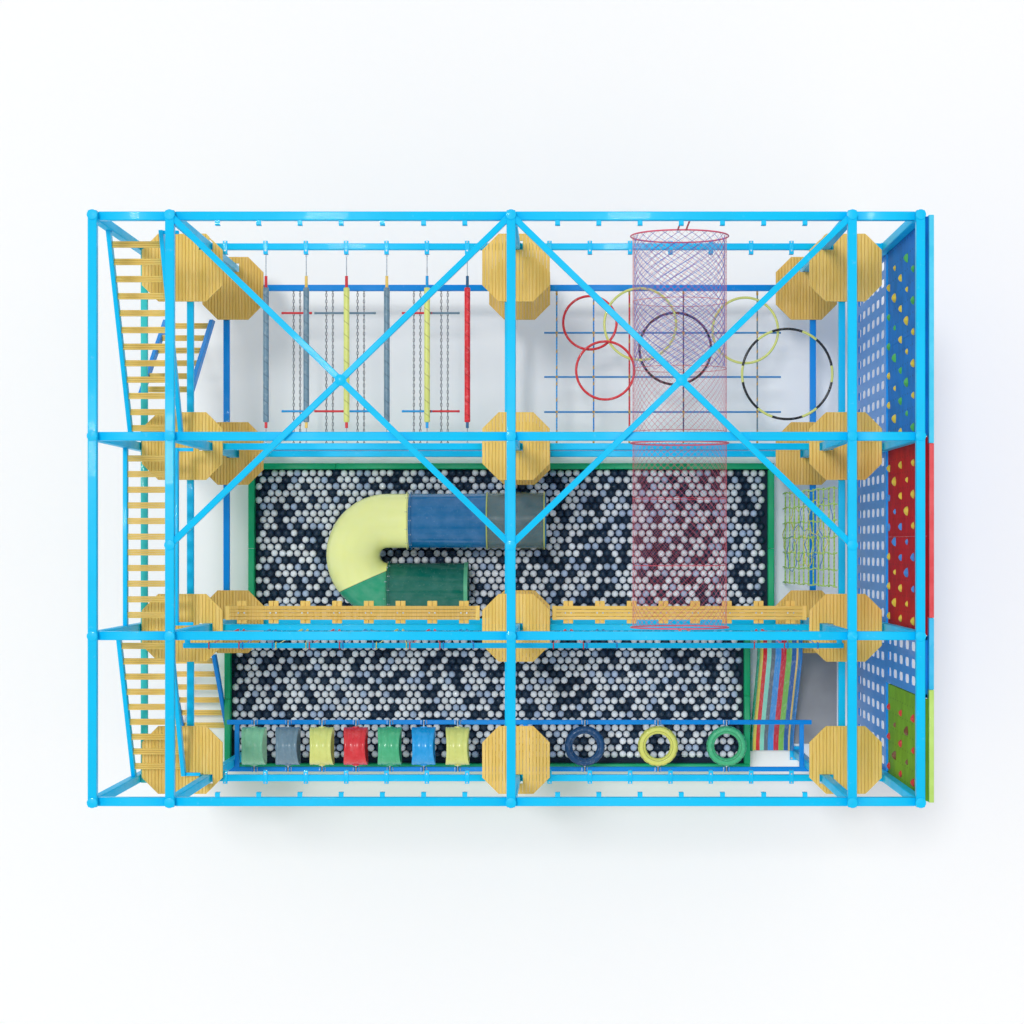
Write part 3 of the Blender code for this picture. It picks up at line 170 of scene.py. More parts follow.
def roundBox(width, depth, radius, steps=3):
    # outline of a rectangle whose corners are quarter circles; a point beside each keeps the sides flat
    turn = np.linspace(0, math.pi / 2, steps + 1)
    lead = min(0.3 * radius, 0.4 * (min(width, depth) / 2 - radius))
    corners = []
    for quarter, (x, y) in enumerate(((1, 1), (-1, 1), (-1, -1), (1, -1))):
        angle = turn + quarter * math.pi / 2
        arc = np.stack([x * (width / 2 - radius) + radius * np.cos(angle),
                        y * (depth / 2 - radius) + radius * np.sin(angle)], -1)
        before = arc[0] + lead * np.array((math.sin(angle[0]), -math.cos(angle[0])))
        after = arc[-1] + lead * np.array((-math.sin(angle[-1]), math.cos(angle[-1])))
        corners += [before[None], arc, after[None]] if lead > 0.0002 else [arc]
    return np.concatenate(corners)


def circle(radius, sides):
    # radius * (cos, sin) round a full turn
    return radius * np.stack([np.cos(turns(sides)), np.sin(turns(sides))], -1)


def ringPath(centre, radius, angle, first=(1, 0, 0), second=(0, 1, 0)):
    # centre + radius * (cos * first + sin * second) at each angle
    return np.array(centre) + radius * (np.cos(angle)[:, None] * first + np.sin(angle)[:, None] * second)


def sweep(bag, path, profile, loop=False, up=(0, 0, 1), sizes=None, slot=0, mark=0.0):
    # a flat outline carried along a path: each point is path + side * u + rise * v, where side is
    # square to the path and to a fixed direction, and rise is square to both
    path = np.asarray(path, float)
    if loop:
        along = np.roll(path, -1, 0) - np.roll(path, 1, 0)
    else:
        along = np.gradient(path, axis=0) if len(path) > 2 else np.repeat(path[1:] - path[:1], 2, 0)
    along = unit(along)
    side = unit(np.cross(along, np.array(up, float)))
    rise = np.cross(side, along)
    sizes = np.ones(len(path)) if sizes is None else np.asarray(sizes, float)
    flat = profile[None] * sizes[:, None, None]
    points = path[:, None] + side[:, None] * flat[..., :1] + rise[:, None] * flat[..., 1:]
    run = np.stack(np.broadcast_arrays(lengths(path)[:, None], lengths(profile)[None], 0.0), -1)
    bag.add(points, tubeFaces(len(path), len(profile), loop), slot, run, mark)


def beam(bag, start, end, width, depth, radius=0.008, up=(0, 0, 1), slot=0, mark=0.0):
    # a rectangular tube with rounded edges and a small chamfer round each end
    start, end = np.array(start, float), np.array(end, float)
    way = unit(end - start)
    trim = min(radius, 0.3 * float(np.linalg.norm(end - start)))
    path = np.array([start, start + way * trim, end - way * trim, end])
    shrink = 1 - 1.2 * trim / max(width, depth)
    sweep(bag, path, roundBox(width, depth, radius), up=up, sizes=(shrink, 1, 1, shrink),
          slot=slot, mark=mark)


def block(bag, low, high, radius=0.006, slot=0, mark=0.0):
    # a rounded block between any two opposite corners, swept along its longest side
    corners = np.array((low, high), float)
    low, high = corners.min(0), corners.max(0)
    size = high - low
    axis = int(np.argmax(size))
    start, end = (low + high) / 2, (low + high) / 2
    start[axis], end[axis] = low[axis], high[axis]
    up = (0, 0, 1) if axis < 2 else (0, 1, 0)
    width, depth = size[(1, 0, 0)[axis]], size[(2, 2, 1)[axis]]
    beam(bag, start, end, width, depth, min(radius, 0.45 * min(width, depth)), up, slot, mark)


def lathe(bag, profile, centre, axis, sides=24, slot=0, mark=0.0, closed=False):
    # each point (r, t) of the profile runs round the axis: centre + axis * t + r * (u cos + v sin)
    profile = np.asarray(profile, float)
    axis = unit(np.array(axis, float))
    u = unit(np.cross(axis, (0, 0, 1) if abs(axis[2]) < 0.9 else (0, 1, 0)))
    v = np.cross(axis, u)
    angle = turns(sides)
    spokes = np.cos(angle)[:, None] * u + np.sin(angle)[:, None] * v
    points = np.array(centre, float) + profile[:, None, 1:] * axis + profile[:, None, :1] * spokes[None]
    girth = angle * profile[:, 0].max()
    run = np.stack(np.broadcast_arrays(lengths(profile)[:, None], girth[None], 0.0), -1)
    bag.add(points, tubeFaces(len(profile), sides, closed), slot, run, mark)


def repeat(bag, points, faces, places, turnsTo=None, slot=0, marks=None):
    # one small shape set down at many places, each with its own turn
    places = np.asarray(places, float)
    shaped = np.broadcast_to(points, (len(places),) + points.shape)
    if turnsTo is not None:
        shaped = np.einsum("kij,nj->kni", turnsTo, points)
    shaped = shaped + places[:, None]
    offset = np.arange(len(places))[:, None, None] * len(points)
    run = np.zeros((len(places), len(points), 3))
    if marks is not None:
        run[..., 2] = np.asarray(marks)[:, None]
    bag.add(shaped, [(face[None] + offset).reshape(-1, face.shape[1]) for face in faces], slot, run)


def ballShape(radius, cuts=2):
    # a cube's six grids of points, pushed out to a sphere
    step = np.linspace(-1, 1, cuts + 1)
    u, v = np.meshgrid(step, step, indexing="ij")
    one = np.ones_like(u)
    sheets = [np.stack(sheet, -1).reshape(-1, 3) for sheet in (
        (u, v, one), (v, u, -one), (one, u, v), (-one, v, u), (v, one, u), (u, -one, v))]
    points = np.concatenate(sheets)
    faces = np.concatenate([netFaces(cuts + 1, cuts + 1, False, False) + index * (cuts + 1) ** 2
                            for index in range(6)])
    _, first, back = np.unique(np.round(points, 4), axis=0, return_index=True, return_inverse=True)
    points = unit(points[first]) * radius
    return points, [back.reshape(-1)[faces]]


def hexBolt(bag, x, y, z, radius=0.014, height=0.016, slot=0):
    # a washer and a six-sided head with a small chamfer
    profile = ((radius * 1.25, 0), (radius * 1.25, 0.003), (radius, 0.003), (radius, height - 0.003),
               (radius * 0.8, height), (0.0005, height))
    lathe(bag, profile, (x, y, z), (0, 0, 1), 6, slot)


# materials: a socket takes part in sums as a number does
class Value:
    # a socket, or the result of sums on sockets
    def __init__(self, paint, socket):
        self.paint, self.socket = paint, socket

    def calculate(self, operation, *others):
        # one maths node on this value and the others
        return self.paint.node("ShaderNodeMath", {"operation": operation}, [self, *others])

    def __add__(self, other):
        return self.calculate("ADD", other)

    def __sub__(self, other):
        return self.calculate("SUBTRACT", other)

    def __rsub__(self, other):
        return self.paint.node("ShaderNodeMath", {"operation": "SUBTRACT"}, [other, self])

    def __mul__(self, other):
        return self.calculate("MULTIPLY", other)

    def __truediv__(self, other):
        return self.calculate("DIVIDE", other)

    def __gt__(self, other):
        return self.calculate("GREATER_THAN", other)

    def __lt__(self, other):
        return self.calculate("LESS_THAN", other)

    __radd__, __rmul__ = __add__, __mul__

    def near(self, middle, width):
        # 1 less than the width from the middle, 0 outside
        return (self - middle).calculate("ABSOLUTE") < width

    def soft(self, low, high):
        # 0 below low, 1 above high, smooth between them
        return self.paint.node("ShaderNodeMapRange", {"interpolation_type": "SMOOTHSTEP"},
                               {"Value": self, "From Min": low, "From Max": high})


class Paint:
    # a material whose nodes are made by sums; constants stand on the shader's own sockets
    def __init__(self, name, roughness=0.4, metallic=0.0, coat=0.0, sheen=0.0, shine=0.3):
        self.material = bpy.data.materials.new(name)
        self.material.use_nodes = True
        self.tree = self.material.node_tree
        self.shader = self.tree.nodes["Principled BSDF"]
        for socket, value in (("Roughness", roughness), ("Metallic", metallic), ("Coat Weight", coat),
                              ("Sheen Weight", sheen), ("Specular IOR Level", shine)):
            self.shader.inputs[socket].default_value = value
        self.coords = self.node("ShaderNodeTexCoord", {}, {}, "Object")

    def node(self, kind, settings, inputs, output=0):
        # a node with its settings; each input is linked or set, by name or in order
        made = self.tree.nodes.new(kind)
        for key, value in settings.items():
            setattr(made, key, value)
        pairs = inputs.items() if isinstance(inputs, dict) else enumerate(inputs)
        for key, value in pairs:
            if isinstance(value, Value):
                self.tree.links.new(value.socket, made.inputs[key])
            elif isinstance(value, tuple) and made.inputs[key].type == "RGBA" and len(value) == 3:
                made.inputs[key].default_value = (*value, 1)
            else:
                made.inputs[key].default_value = value
        return Value(self, made.outputs[output])

    def noise(self, scale, detail=2.0, stretch=None):
        # cloudy noise in metres, finer along an axis with a larger stretch
        coords = self.coords
        if stretch:
            coords = self.node("ShaderNodeMapping", {}, {"Vector": coords, "Scale": stretch})
        return self.node("ShaderNodeTexNoise", {}, {"Vector": coords, "Scale": scale, "Detail": detail})

    def cells(self, scale, output="Distance"):
        # pebbles: the distance to each cell's middle, or a colour of its own
        return self.node("ShaderNodeTexVoronoi", {}, {"Vector": self.coords, "Scale": scale}, output)

    def axes(self, coords=None):
        # three values of the object's coordinates, or of the ones given
        parts = self.tree.nodes.new("ShaderNodeSeparateXYZ")
        self.tree.links.new((coords or self.coords).socket, parts.inputs[0])
        return [Value(self, socket) for socket in parts.outputs]

    def run(self):
        # along, round and own number of the piece's surface
        return self.node("ShaderNodeAttribute", {"attribute_name": "run"}, {}, "Vector")

    def mix(self, first, second, factor):
        # first * (1 - factor) + second * factor
        return self.node("ShaderNodeMix", {"data_type": "RGBA"}, {0: factor, 6: first, 7: second}, 2)

    def banded(self, factor, stops):
        # each colour from its own share of the factor to the next one's, with hard edges
        made = self.tree.nodes.new("ShaderNodeValToRGB")
        ramp = made.color_ramp
        ramp.interpolation = "CONSTANT"
        while len(ramp.elements) < len(stops):
            ramp.elements.new(0.99)
        for element, (place, colour) in zip(ramp.elements, stops):
            element.position = place
            element.color = (*colour, 1)
        self.tree.links.new(factor.socket, made.inputs[0])
        return Value(self, made.outputs[0])

    def feed(self, name, value):
        # a varying value into one of the shader's sockets
        self.tree.links.new(value.socket, self.shader.inputs[name])

    def bump(self, height, strength, distance):
        # the height, 0 to 1 over the distance in metres, shades the surface
        self.feed("Normal", self.node("ShaderNodeBump", {}, {
            "Height": height, "Strength": strength, "Distance": distance}, "Normal"))


def rgb(red, green, blue):
    # screen values from 0 to 255 as the linear ones that a shader takes
    return tuple(((v / 255 + 0.055) / 1.055) ** 2.4 if v > 10 else v / 255 / 12.92
                 for v in (red, green, blue))


def darker(colour, share):
    # the colour times the share
    return tuple(value * share for value in colour)


def lighter(colour, share):
    # the colour, moved that share of the way to white
    return tuple(value + (1 - value) * share for value in colour)


def paintedSteel(name, colour, worn=0.25):
    # powder coat: fine orange peel, faint dull patches, and a little dust
    paint = Paint(name, 0.34, 0.0, 0.06, shine=0.15)
    patches = paint.noise(2.2, 4).soft(0.35, 0.75)
    fine = paint.noise(160, 2)
    shade = paint.mix(colour, darker(colour, 0.88), patches * 0.5)
    dust = paint.noise(14, 5).soft(0.62, 0.80)
    paint.feed("Base Color", paint.mix(shade, lighter(colour, 0.22), dust * worn))
    paint.feed("Roughness", 0.30 + patches * 0.14 + fine * 0.06)
    paint.bump(fine, 0.10, 0.0006)
    return paint.material


def moulded(name, colour, roughness=0.32, scuffs=0.12, clear=None):
    # rotation-moulded plastic: faint mottle, scuffs along the wear and a fine pebble
    paint = Paint(name, roughness, 0.0, 0.15)
    mottle = paint.noise(7, 4)
    scuff = paint.noise(30, 6, stretch=(1, 1, 0.25)).soft(0.58, 0.70)
    tone = paint.mix(darker(colour, 0.93), lighter(colour, 0.03), mottle.soft(0.3, 0.7))
    paint.feed("Base Color", paint.mix(tone, lighter(colour, 0.30), scuff * scuffs))
    paint.feed("Roughness", roughness + mottle * 0.08 + scuff * 0.18)
    paint.bump(paint.noise(220, 2), 0.05, 0.0005)
    if clear:
        paint.shader.inputs["Alpha"].default_value = clear
    return paint.material


def timber(name, colour, along="y"):
    # decking: each board has its own tone, and grain is noise drawn out along its length
    paint = Paint(name, 0.55, shine=0.12)
    stretch = {"x": (1.2, 26, 12), "y": (26, 1.2, 12)}[along]
    own = paint.axes(paint.run())[2]
    grain = paint.noise(3.0, 6, stretch=stretch)
    streak = paint.noise(9.0, 3, stretch=stretch).soft(0.35, 0.7)
    tone = paint.mix(darker(colour, 0.90), lighter(colour, 0.10), grain.soft(0.32, 0.68))
    tone = paint.mix(tone, darker(colour, 0.70), streak * 0.25)
    paint.feed("Base Color", paint.mix(tone, darker(colour, 0.80), own * 0.4))
    paint.feed("Roughness", 0.46 + grain * 0.22)
    paint.bump(grain + streak * 0.4, 0.25, 0.0012)
    return paint.material


def foam(name, colour, roughness=0.7):
    # coated boards and mats: leathery pebble, soft dark smudges
    paint = Paint(name, roughness)
    smudge = paint.noise(1.6, 5).soft(0.42, 0.72)
    pebble = paint.cells(190)
    paint.feed("Base Color", paint.mix(colour, darker(colour, 0.70), smudge * 0.6))
    paint.feed("Roughness", roughness - smudge * 0.12)
    paint.bump(pebble, 0.18, 0.0006)
    return paint.material


def twisted(name, colour, second=None, pitch=0.05, roughness=0.85):
    # laid rope: slanting strands from the run along and round it, with the grooves between them darkened as
    # painted shade
    paint = Paint(name, roughness, sheen=0.3)
    along, girth = paint.axes(paint.run())[:2]
    groove = (along / pitch + girth * 16).calculate("FRACT").near(0.5, 0.14)
    fleck = (along / (pitch * 5) + girth * 9).calculate("FRACT") > 0.78
    tone = paint.mix(colour, second or lighter(colour, 0.25), fleck)
    # the grooves between strands are darkened as painted shade
    paint.feed("Base Color", paint.mix(tone, darker(colour, 0.45), groove * 0.7))
    paint.feed("Roughness", roughness - groove * 0.1)
    paint.bump(1 - groove, 0.5, 0.002)
    return paint.material


def bareSteel(name, colour, roughness=0.35, metallic=0.9):
    # galvanised or dark steel, with spangle and dull spots
    paint = Paint(name, roughness, metallic)
    spangle = paint.cells(60, "Color")
    grey = paint.noise(40, 4)
    paint.feed("Base Color", paint.mix(colour, darker(colour, 0.6), grey.soft(0.4, 0.7)))
    paint.feed("Roughness", roughness + grey * 0.2)
    paint.bump(spangle, 0.06, 0.0003)
    return paint.material


colours = {
    "frame": rgb(4, 200, 252), "frameDeep": rgb(8, 144, 232), "teal": rgb(60, 205, 205),
    "wood": rgb(255, 212, 106), "woodPaintedShade": rgb(240, 194, 94), "pit": rgb(0, 170, 112),
    "navy": rgb(14, 92, 138), "lime": rgb(226, 230, 128), "green": rgb(70, 185, 130),
    "olive": rgb(150, 150, 80), "red": rgb(228, 42, 52), "greyBlue": rgb(112, 142, 160),
    "sky": rgb(0, 165, 236), "yellow": rgb(224, 226, 112), "ink": rgb(8, 70, 118),
    "violet": rgb(80, 96, 205), "chain": rgb(60, 66, 80), "gold": rgb(214, 164, 60),
}
steelBlue = paintedSteel("steelBlue", colours["frame"])
steelDeep = paintedSteel("steelDeep", colours["frameDeep"])
steelTeal = paintedSteel("steelTeal", colours["teal"])
boltSteel = bareSteel("boltSteel", rgb(170, 180, 190))
deckWood = timber("deckWood", colours["wood"])
# the deck wood darkened as painted shade, for the lower decks, the fascias and the left bridge plank
paintedShadeWood = timber("paintedShadeWood", colours["woodPaintedShade"])
treadWood = timber("treadWood", colours["wood"], "x")
print("materials mixed")


# steel frame: rounded tubes, base plates with hex bolts, folded tabs and domed caps
steel = {
    "edge": 0.010,            # rounding of the tube's corners
    "railTop": 6.149,         # top of the rails along X
    "plateOuter": 0.36,
    "plateInner": 0.19,
    "plateThick": 0.012,
    "beam": 0.08,
    "under": 0.0004,          # how much thinner than its solid a tube is drawn
    "tabs": 7,
    "tabPitch": 0.4545,
    "bracketPitch": 0.49,
    "bracketShifts": (-0.19, 0.0),   # the left bay's brackets stand off its middle
    "tabWidth": 0.056,
    "brace": 0.07,
    "braceRun": 3.63,         # how far the braces run in Y
    "capRadius": 0.058,
}
half = grid["tube"] / 2


def squareTube(bag, start, end, size, slot=0, radius=0.009):
    # a square tube, drawn a little inside its solid
    beam(bag, start, end, size - steel["under"], size - steel["under"], radius, slot=slot)


def post(bag, x, y):
    # the post, its base plate with a bolt in two corners, and weld beads along the foot
    size = steel["plateOuter"] if x in (columns[0], columns[4]) else steel["plateInner"]
    wide, thick = grid["tube"] - steel["under"], steel["plateThick"]
    beam(bag, (x, y, 0.004), (x, y, steel["railTop"] - 0.002), wide, wide, steel["edge"], (0, 1, 0))
    block(bag, (x - size / 2, y - size / 2, 0), (x + size / 2, y + size / 2, thick), 0.004)
    reach = size / 2 - 0.024
    for sign in (-1, 1):
        hexBolt(bag, x + sign * reach, y + sign * reach, thick - 0.001, slot=1)
    for side in (-1, 1):
        for wide, deep in ((0.10, 0), (0, 0.10)):
            start = (x - wide / 2 + side * deep / 2, y - deep / 2 + side * wide / 2, thick)
            end = (x + wide / 2 + side * deep / 2, y + deep / 2 + side * wide / 2, thick)
            sweep(bag, np.linspace(start, end, 5), circle(0.005, 6), up=(0, 0, 1))


def spots(bay, pitch, shift=0.0):
    # seven even places about the middle of a bay
    middle = (columns[bay] + columns[bay + 1]) / 2 + shift
    return [middle + pitch * (index - (steel["tabs"] - 1) / 2) for index in range(steel["tabs"])]


def tab(bag, x, face, inward, top):
    # a folded plate: flat on the rail's face, out, then down, with an eye bolt through it
    reach, drop, thick = 0.053, 0.060, 0.008
    outline = np.array([(0.0, -0.004), (reach - 0.012, -0.004), (reach - 0.004, -0.012),
                        (reach - 0.001, -drop)])
    path = np.stack([np.full(4, x), face + inward * outline[:, 0], top + outline[:, 1]], -1)
    sweep(bag, path, roundBox(thick, steel["tabWidth"], 0.003, 2), up=(1, 0, 0))
    lathe(bag, ((0.0115, 0), (0.0115, 0.006), (0.008, 0.010), (0.0005, 0.011)),
          (x, face + inward * (reach - 0.005), top - 0.040), (0, inward, 0), 8, 1)


def strap(bag, x, y, inward, top):
    # a clamp over the beam: a rounded plate with two bolt heads
    near, far = y - inward * 0.068, y + inward * 0.092
    block(bag, (x - 0.028, near, top - 0.010), (x + 0.028, far, top + 0.0115), 0.005)
    for place in (-0.052, 0.052):
        hexBolt(bag, x, y + inward * place, top + 0.0105, 0.009, 0.010, 1)


for index, (side, y) in enumerate(zip(("Back", "Second", "Third", "Front"), rows)):
    bag = Bag()
    for x in columns:
        post(bag, x, y)
    levels = [(steel["railTop"], 0.0976, range(4)), (grid["upperBeamTop"], steel["beam"], range(4))]
    if index in (1, 2):
        levels.append((grid["lowerBeamTop"], steel["beam"], range(1, 3)))
    for top, width, bays in levels:
        for first in bays:
            left, right = columns[first] + half - 0.004, columns[first + 1] - half + 0.004
            beam(bag, (left, y, top - width / 2), (right, y, top - width / 2), width, width, steel["edge"])
            if width == steel["beam"]:       # end flanges where a deck beam meets its post
                for x, way in ((left + 0.004, 1), (right - 0.004, -1)):
                    block(bag, (x, y - 0.046, top - width + 0.001), (x + way * 0.008, y + 0.046, top - 0.001),
                          0.003)
    if index in (0, 3):
        inward = -1 if index == 0 else 1
        for bay in (1, 2):
            for x in spots(bay, steel["tabPitch"]):
                tab(bag, x, y + inward * half, inward, steel["railTop"] - 0.001)
            for x in spots(bay, steel["bracketPitch"], steel["bracketShifts"][bay - 1]):
                tab(bag, x, y + inward * 0.04, inward, grid["upperBeamTop"] - 0.001)
                strap(bag, x, y, inward, grid["upperBeamTop"])
    bag.build("rowFrame" + side, "frame", "frame_blue", [steelBlue, boltSteel], ["row_frame_" + side.lower()])

roofMiddle = grid["roofTop"] - half
backLine = rows[0] - steel["braceRun"]
for name, node, lines, braced in (("roofGrid", "roof_grid", (1, 2, 3), True),
                                  ("roofRailLeft", "cross_rail_left", (0,), False),
                                  ("roofRailRight", "cross_rail_right", (4,), False)):
    bag = Bag()
    for line in lines:
        x = columns[line]
        beam(bag, (x, rows[3] - half, roofMiddle + 0.0003), (x, rows[0] + half, roofMiddle + 0.0003),
             0.0996, 0.0990, steel["edge"])
        for y in rows + ((backLine,) if braced else ()):
            cap = steel["capRadius"]
            lathe(bag, ((cap, -0.004), (cap, 0.004), (cap * 0.93, 0.009), (0.022, 0.0125), (0.0005, 0.013)),
                  (x, y, grid["roofTop"]), (0, 0, 1), 20)
    if braced:
        for bay in (1, 2):
            left, right = columns[bay], columns[bay + 1]
            for drop, (y0, y1) in ((0.0, (backLine, rows[0])), (0.0006, (rows[0], backLine))):
                beam(bag, (left, y0, roofMiddle), (right, y1, roofMiddle),
                     steel["brace"], steel["brace"] - drop, 0.008)
            middle = ((left + right) / 2, (backLine + rows[0]) / 2)
            lathe(bag, ((0.062, -0.038), (0.062, 0.036), (0.055, 0.040), (0.0005, 0.041)),
                  (*middle, roofMiddle), (0, 0, 1), 16)
    bag.build(name, "frame", "frame_blue", [steelBlue, boltSteel], [node])
print("steel frame built")


# platforms: separate grooved boards cut to an octagon, round each post
deck = {
    "boardPitch": 0.041,
    "groove": 0.0026,
    "thick": 0.036,
    "depth": 0.82,
    "corner": 0.20,
    "small": 0.80,
    "reach": 0.20,            # how far the aisle platforms pass the inner posts
    "lines": (rows[0] - 0.27, rows[1], rows[2], rows[3] + 0.23),
    "postGap": 0.006,
    "top": grid["upperDeck"] - 0.0004, "lowTop": grid["lowerDeck"] - 0.0004,     # just inside the solids
    "beamZ": grid["upperDeck"] - 0.0802, "lowBeamZ": grid["lowerDeck"] - 0.0802,
    "upperOut": 0.20, "lowerOut": 0.0905, "middleOut": -0.0965,      # beams, off the post line
}


def boards(bag, centre, width, top, posts):
    # boards run along Y; half the octagon's length at x is halfY - max(0, |x| - (halfX - corner)), and a
    # board stops at a post
    halfX, halfY, corner = width / 2, deck["depth"] / 2, deck["corner"]
    count = round(width / deck["boardPitch"])
    pitch = width / count

    for index in range(count):
        low = -halfX + pitch * index + deck["groove"] / 2
        high = low + pitch - deck["groove"]
        own = (math.sin(index * 7.3 + centre[0] * 3 + centre[1] * 5) + 1) / 2
        spans = [(None, None)]
        for px, py in posts:
            keep = half + deck["postGap"]
            offX, offY = px - centre[0], py - centre[1]
            if low - keep < offX < high + keep and abs(offY) < halfY + keep:
                spans = [(None, offY - keep), (offY + keep, None)]
        for front, back in spans:
            ease = 0.004
            x = np.array((low, low + ease, high - ease, high))
            reach = halfY - np.maximum(0, np.abs(x) - (halfX - corner))
            ends = (-reach if front is None else np.full(4, front),
                    reach if back is None else np.full(4, back))
            if np.any(ends[0] > ends[1] - 0.02):
                continue
            rings = []
            for end in ends:
                upper = np.column_stack([centre[0] + x, centre[1] + end, top - np.array((ease, 0, 0, ease))])
                lower = upper[[3, 0]]
                lower[:, 2] = top - deck["thick"]
                rings += [upper, lower]
            points = np.concatenate(rings)
            run = np.zeros((12, 3))
            run[:, 0] = points[:, 1]
            bag.add(points, tubeFaces(2, 6), 0, run, own)


def fascia(bag, centre, width, top, slot):
    # a painted band round the octagon's edge, under the boards' lip
    halfX, halfY, corner = width / 2 - 0.008, deck["depth"] / 2 - 0.008, deck["corner"]
    outline = np.array([(halfX, -halfY + corner), (halfX, halfY - corner), (halfX - corner, halfY),
                        (-halfX + corner, halfY), (-halfX, halfY - corner), (-halfX, -halfY + corner),
                        (-halfX + corner, -halfY), (halfX - corner, -halfY)])
    fine = np.concatenate([np.linspace(outline[k], outline[(k + 1) % 8], 7)[:-1] for k in range(8)])
    path = np.column_stack([fine + np.array(centre), np.full(len(fine), top - 0.021)])
    sweep(bag, path, roundBox(0.014, 0.034, 0.004, 2), loop=True, slot=slot)


def widePlatform(column):
    # middle and width of an upper platform, from the outer posts to a little past the inner ones
    side = 1 if column == 3 else -1
    outer = columns[column + side] - side * (half + 0.02)
    inner = columns[column] - side * deck["reach"]
    return (outer + inner) / 2, abs(outer - inner)


def deckLine(bag, x, centre, width, count, top, beamZ, posts):
    # a beam along Y from the back row on, with that many platforms over it
    squareTube(bag, (x, rows[count - 1] - half, beamZ), (x, rows[0] + half, beamZ), steel["beam"], 1)
    for y in deck["lines"][:count]:
        boards(bag, (centre, y), width, top, posts)
        fascia(bag, (centre, y), width, top, 2)


for column, side in ((1, "Left"), (2, "Middle"), (3, "Right")):
    sign = 1 if column == 3 else -1
    middle, posts = columns[column], [(columns[column], y) for y in rows]
    centre, width = (middle, deck["depth"]) if column == 2 else widePlatform(column)
    bag = Bag()
    x = middle + (deck["middleOut"] if column == 2 else sign * deck["upperOut"])
    deckLine(bag, x, centre, width, 4, deck["top"], deck["beamZ"], posts)
    bag.build("upperDeck" + side, "frame", "timber", [deckWood, steelBlue, paintedShadeWood],
              ["upper_deck_" + side.lower()])
    bag = Bag()
    x = middle + sign * deck["lowerOut"]
    deckLine(bag, x, middle, deck["small"], 2 if column == 2 else 3, deck["lowTop"], deck["lowBeamZ"], posts)
    bag.build("lowerDeck" + side, "frame", "timber", [paintedShadeWood, steelDeep, paintedShadeWood],
              ["lower_deck_" + side.lower()])

bag = Bag()
place = (columns[2], deck["lines"][2])
boards(bag, place, deck["small"], deck["lowTop"], [(columns[2], rows[2])])
fascia(bag, place, deck["small"], deck["lowTop"], 1)
bag.build("lowerDeckThird", "frame", "timber", [paintedShadeWood, paintedShadeWood])

bag = Bag()
x, z = columns[0] + half + 0.0405, deck["beamZ"] - 0.0001
beam(bag, (x, rows[3] - half, z), (x, rows[0] + half, z), 0.0794, 0.0790, 0.009)
bag.build("aisleEdgeBeam", "frame", "beam_teal", [steelTeal], ["aisle_edge_beam"])
print("decks built")


# stairs: steel stringers and grooved treads
stairs = {
    "left": columns[0], "width": 0.60, "stringer": 0.05, "depth": 0.11,
    "pitch": 0.185, "tread": 0.074, "treadThick": 0.034, "margin": 0.075,
    "upper": ((0.28, 1.70), (0.66, 0.66), (0.12, 1.10)),   # rise over the upper deck at each end
}


def flight(bag, low, high):
    # two stringers with plumb ends; treads sit level between them at an even pitch
    (y0, z0), (y1, z1) = sorted((low, high))
    slope = (z1 - z0) / (y1 - y0)
    deep = stairs["depth"] / 2 * math.sqrt(1 + slope * slope)
    wide = stairs["stringer"] / 2
    for x in (stairs["left"], stairs["left"] + stairs["width"]):
        rings = []
        for y, z in ((y0, z0), (y0 + 0.006, z0 + 0.006 * slope), (y1 - 0.006, z1 - 0.006 * slope), (y1, z1)):
            inset = 0.004 if y in (y0, y1) else 0.0
            outline = roundBox(2 * (wide - inset), 2 * (deep - inset), 0.008, 2)
            ring = np.column_stack([x + outline[:, 0], np.full(len(outline), y), z + outline[:, 1]])
            ring[:, 2] = np.maximum(ring[:, 2], 0.0)
            rings.append(ring)
        bag.add(np.concatenate(rings), tubeFaces(4, len(rings[0])), 1)
    span = y1 - y0
    count = int((span - 2 * stairs["margin"]) / stairs["pitch"]) + 1
    margin = (span - stairs["pitch"] * (count - 1)) / 2
    for index in range(count):
        y = y0 + margin + stairs["pitch"] * index
        z = z0 + slope * (y - y0)
        own = (math.sin(index * 5.1 + y0) + 1) / 2
        thick = stairs["treadThick"] / 2
        for strip in (-1, 0, 1):      # three slats to a tread
            middle = y + strip * stairs["tread"] / 3
            block(bag, (stairs["left"] + 0.020, middle - 0.0115, z - thick),
                  (stairs["left"] + stairs["width"] - 0.020, middle + 0.0115, z + thick), 0.004, 0, own)


reach = half + 0.0005
for index, (lowRise, highRise) in enumerate(stairs["upper"]):
    near = (rows[index + 1] + reach, grid["upperDeck"] + lowRise)
    far = (rows[index] - reach, grid["upperDeck"] + highRise)
    bag = Bag()
    flight(bag, near, far)
    for (y, z), inward in ((near, 1), (far, -1)):        # arms to the posts
        block(bag, (stairs["left"] + stairs["width"], y, z - 0.0195),
              (columns[1] - half - 0.001, y + inward * 0.04, z + 0.0195), 0.005, 1)
    bag.build(f"upperStair{index + 1}", "frame", "timber", [treadWood, steelBlue],
              [f"upper_stair_{index + 1}"])
landing = deck["lines"][0] - deck["depth"] / 2 - 0.02
foot = deck["lines"][2] - deck["depth"] / 2 - 0.02
for name, node, low, high in (
        ("deckStair", "deck_stair", (landing, grid["lowerDeck"] + 0.11),
         (landing - 1.10, grid["upperBeamTop"] - 0.22)),
        ("floorStair", "floor_stair", (foot - 1.10, 0.0), (foot, grid["lowerDeck"] - 0.04))):
    bag = Bag()
    flight(bag, low, high)
    bag.build(name, "frame", "timber", [treadWood, steelDeep], [node])
print("stairs built")


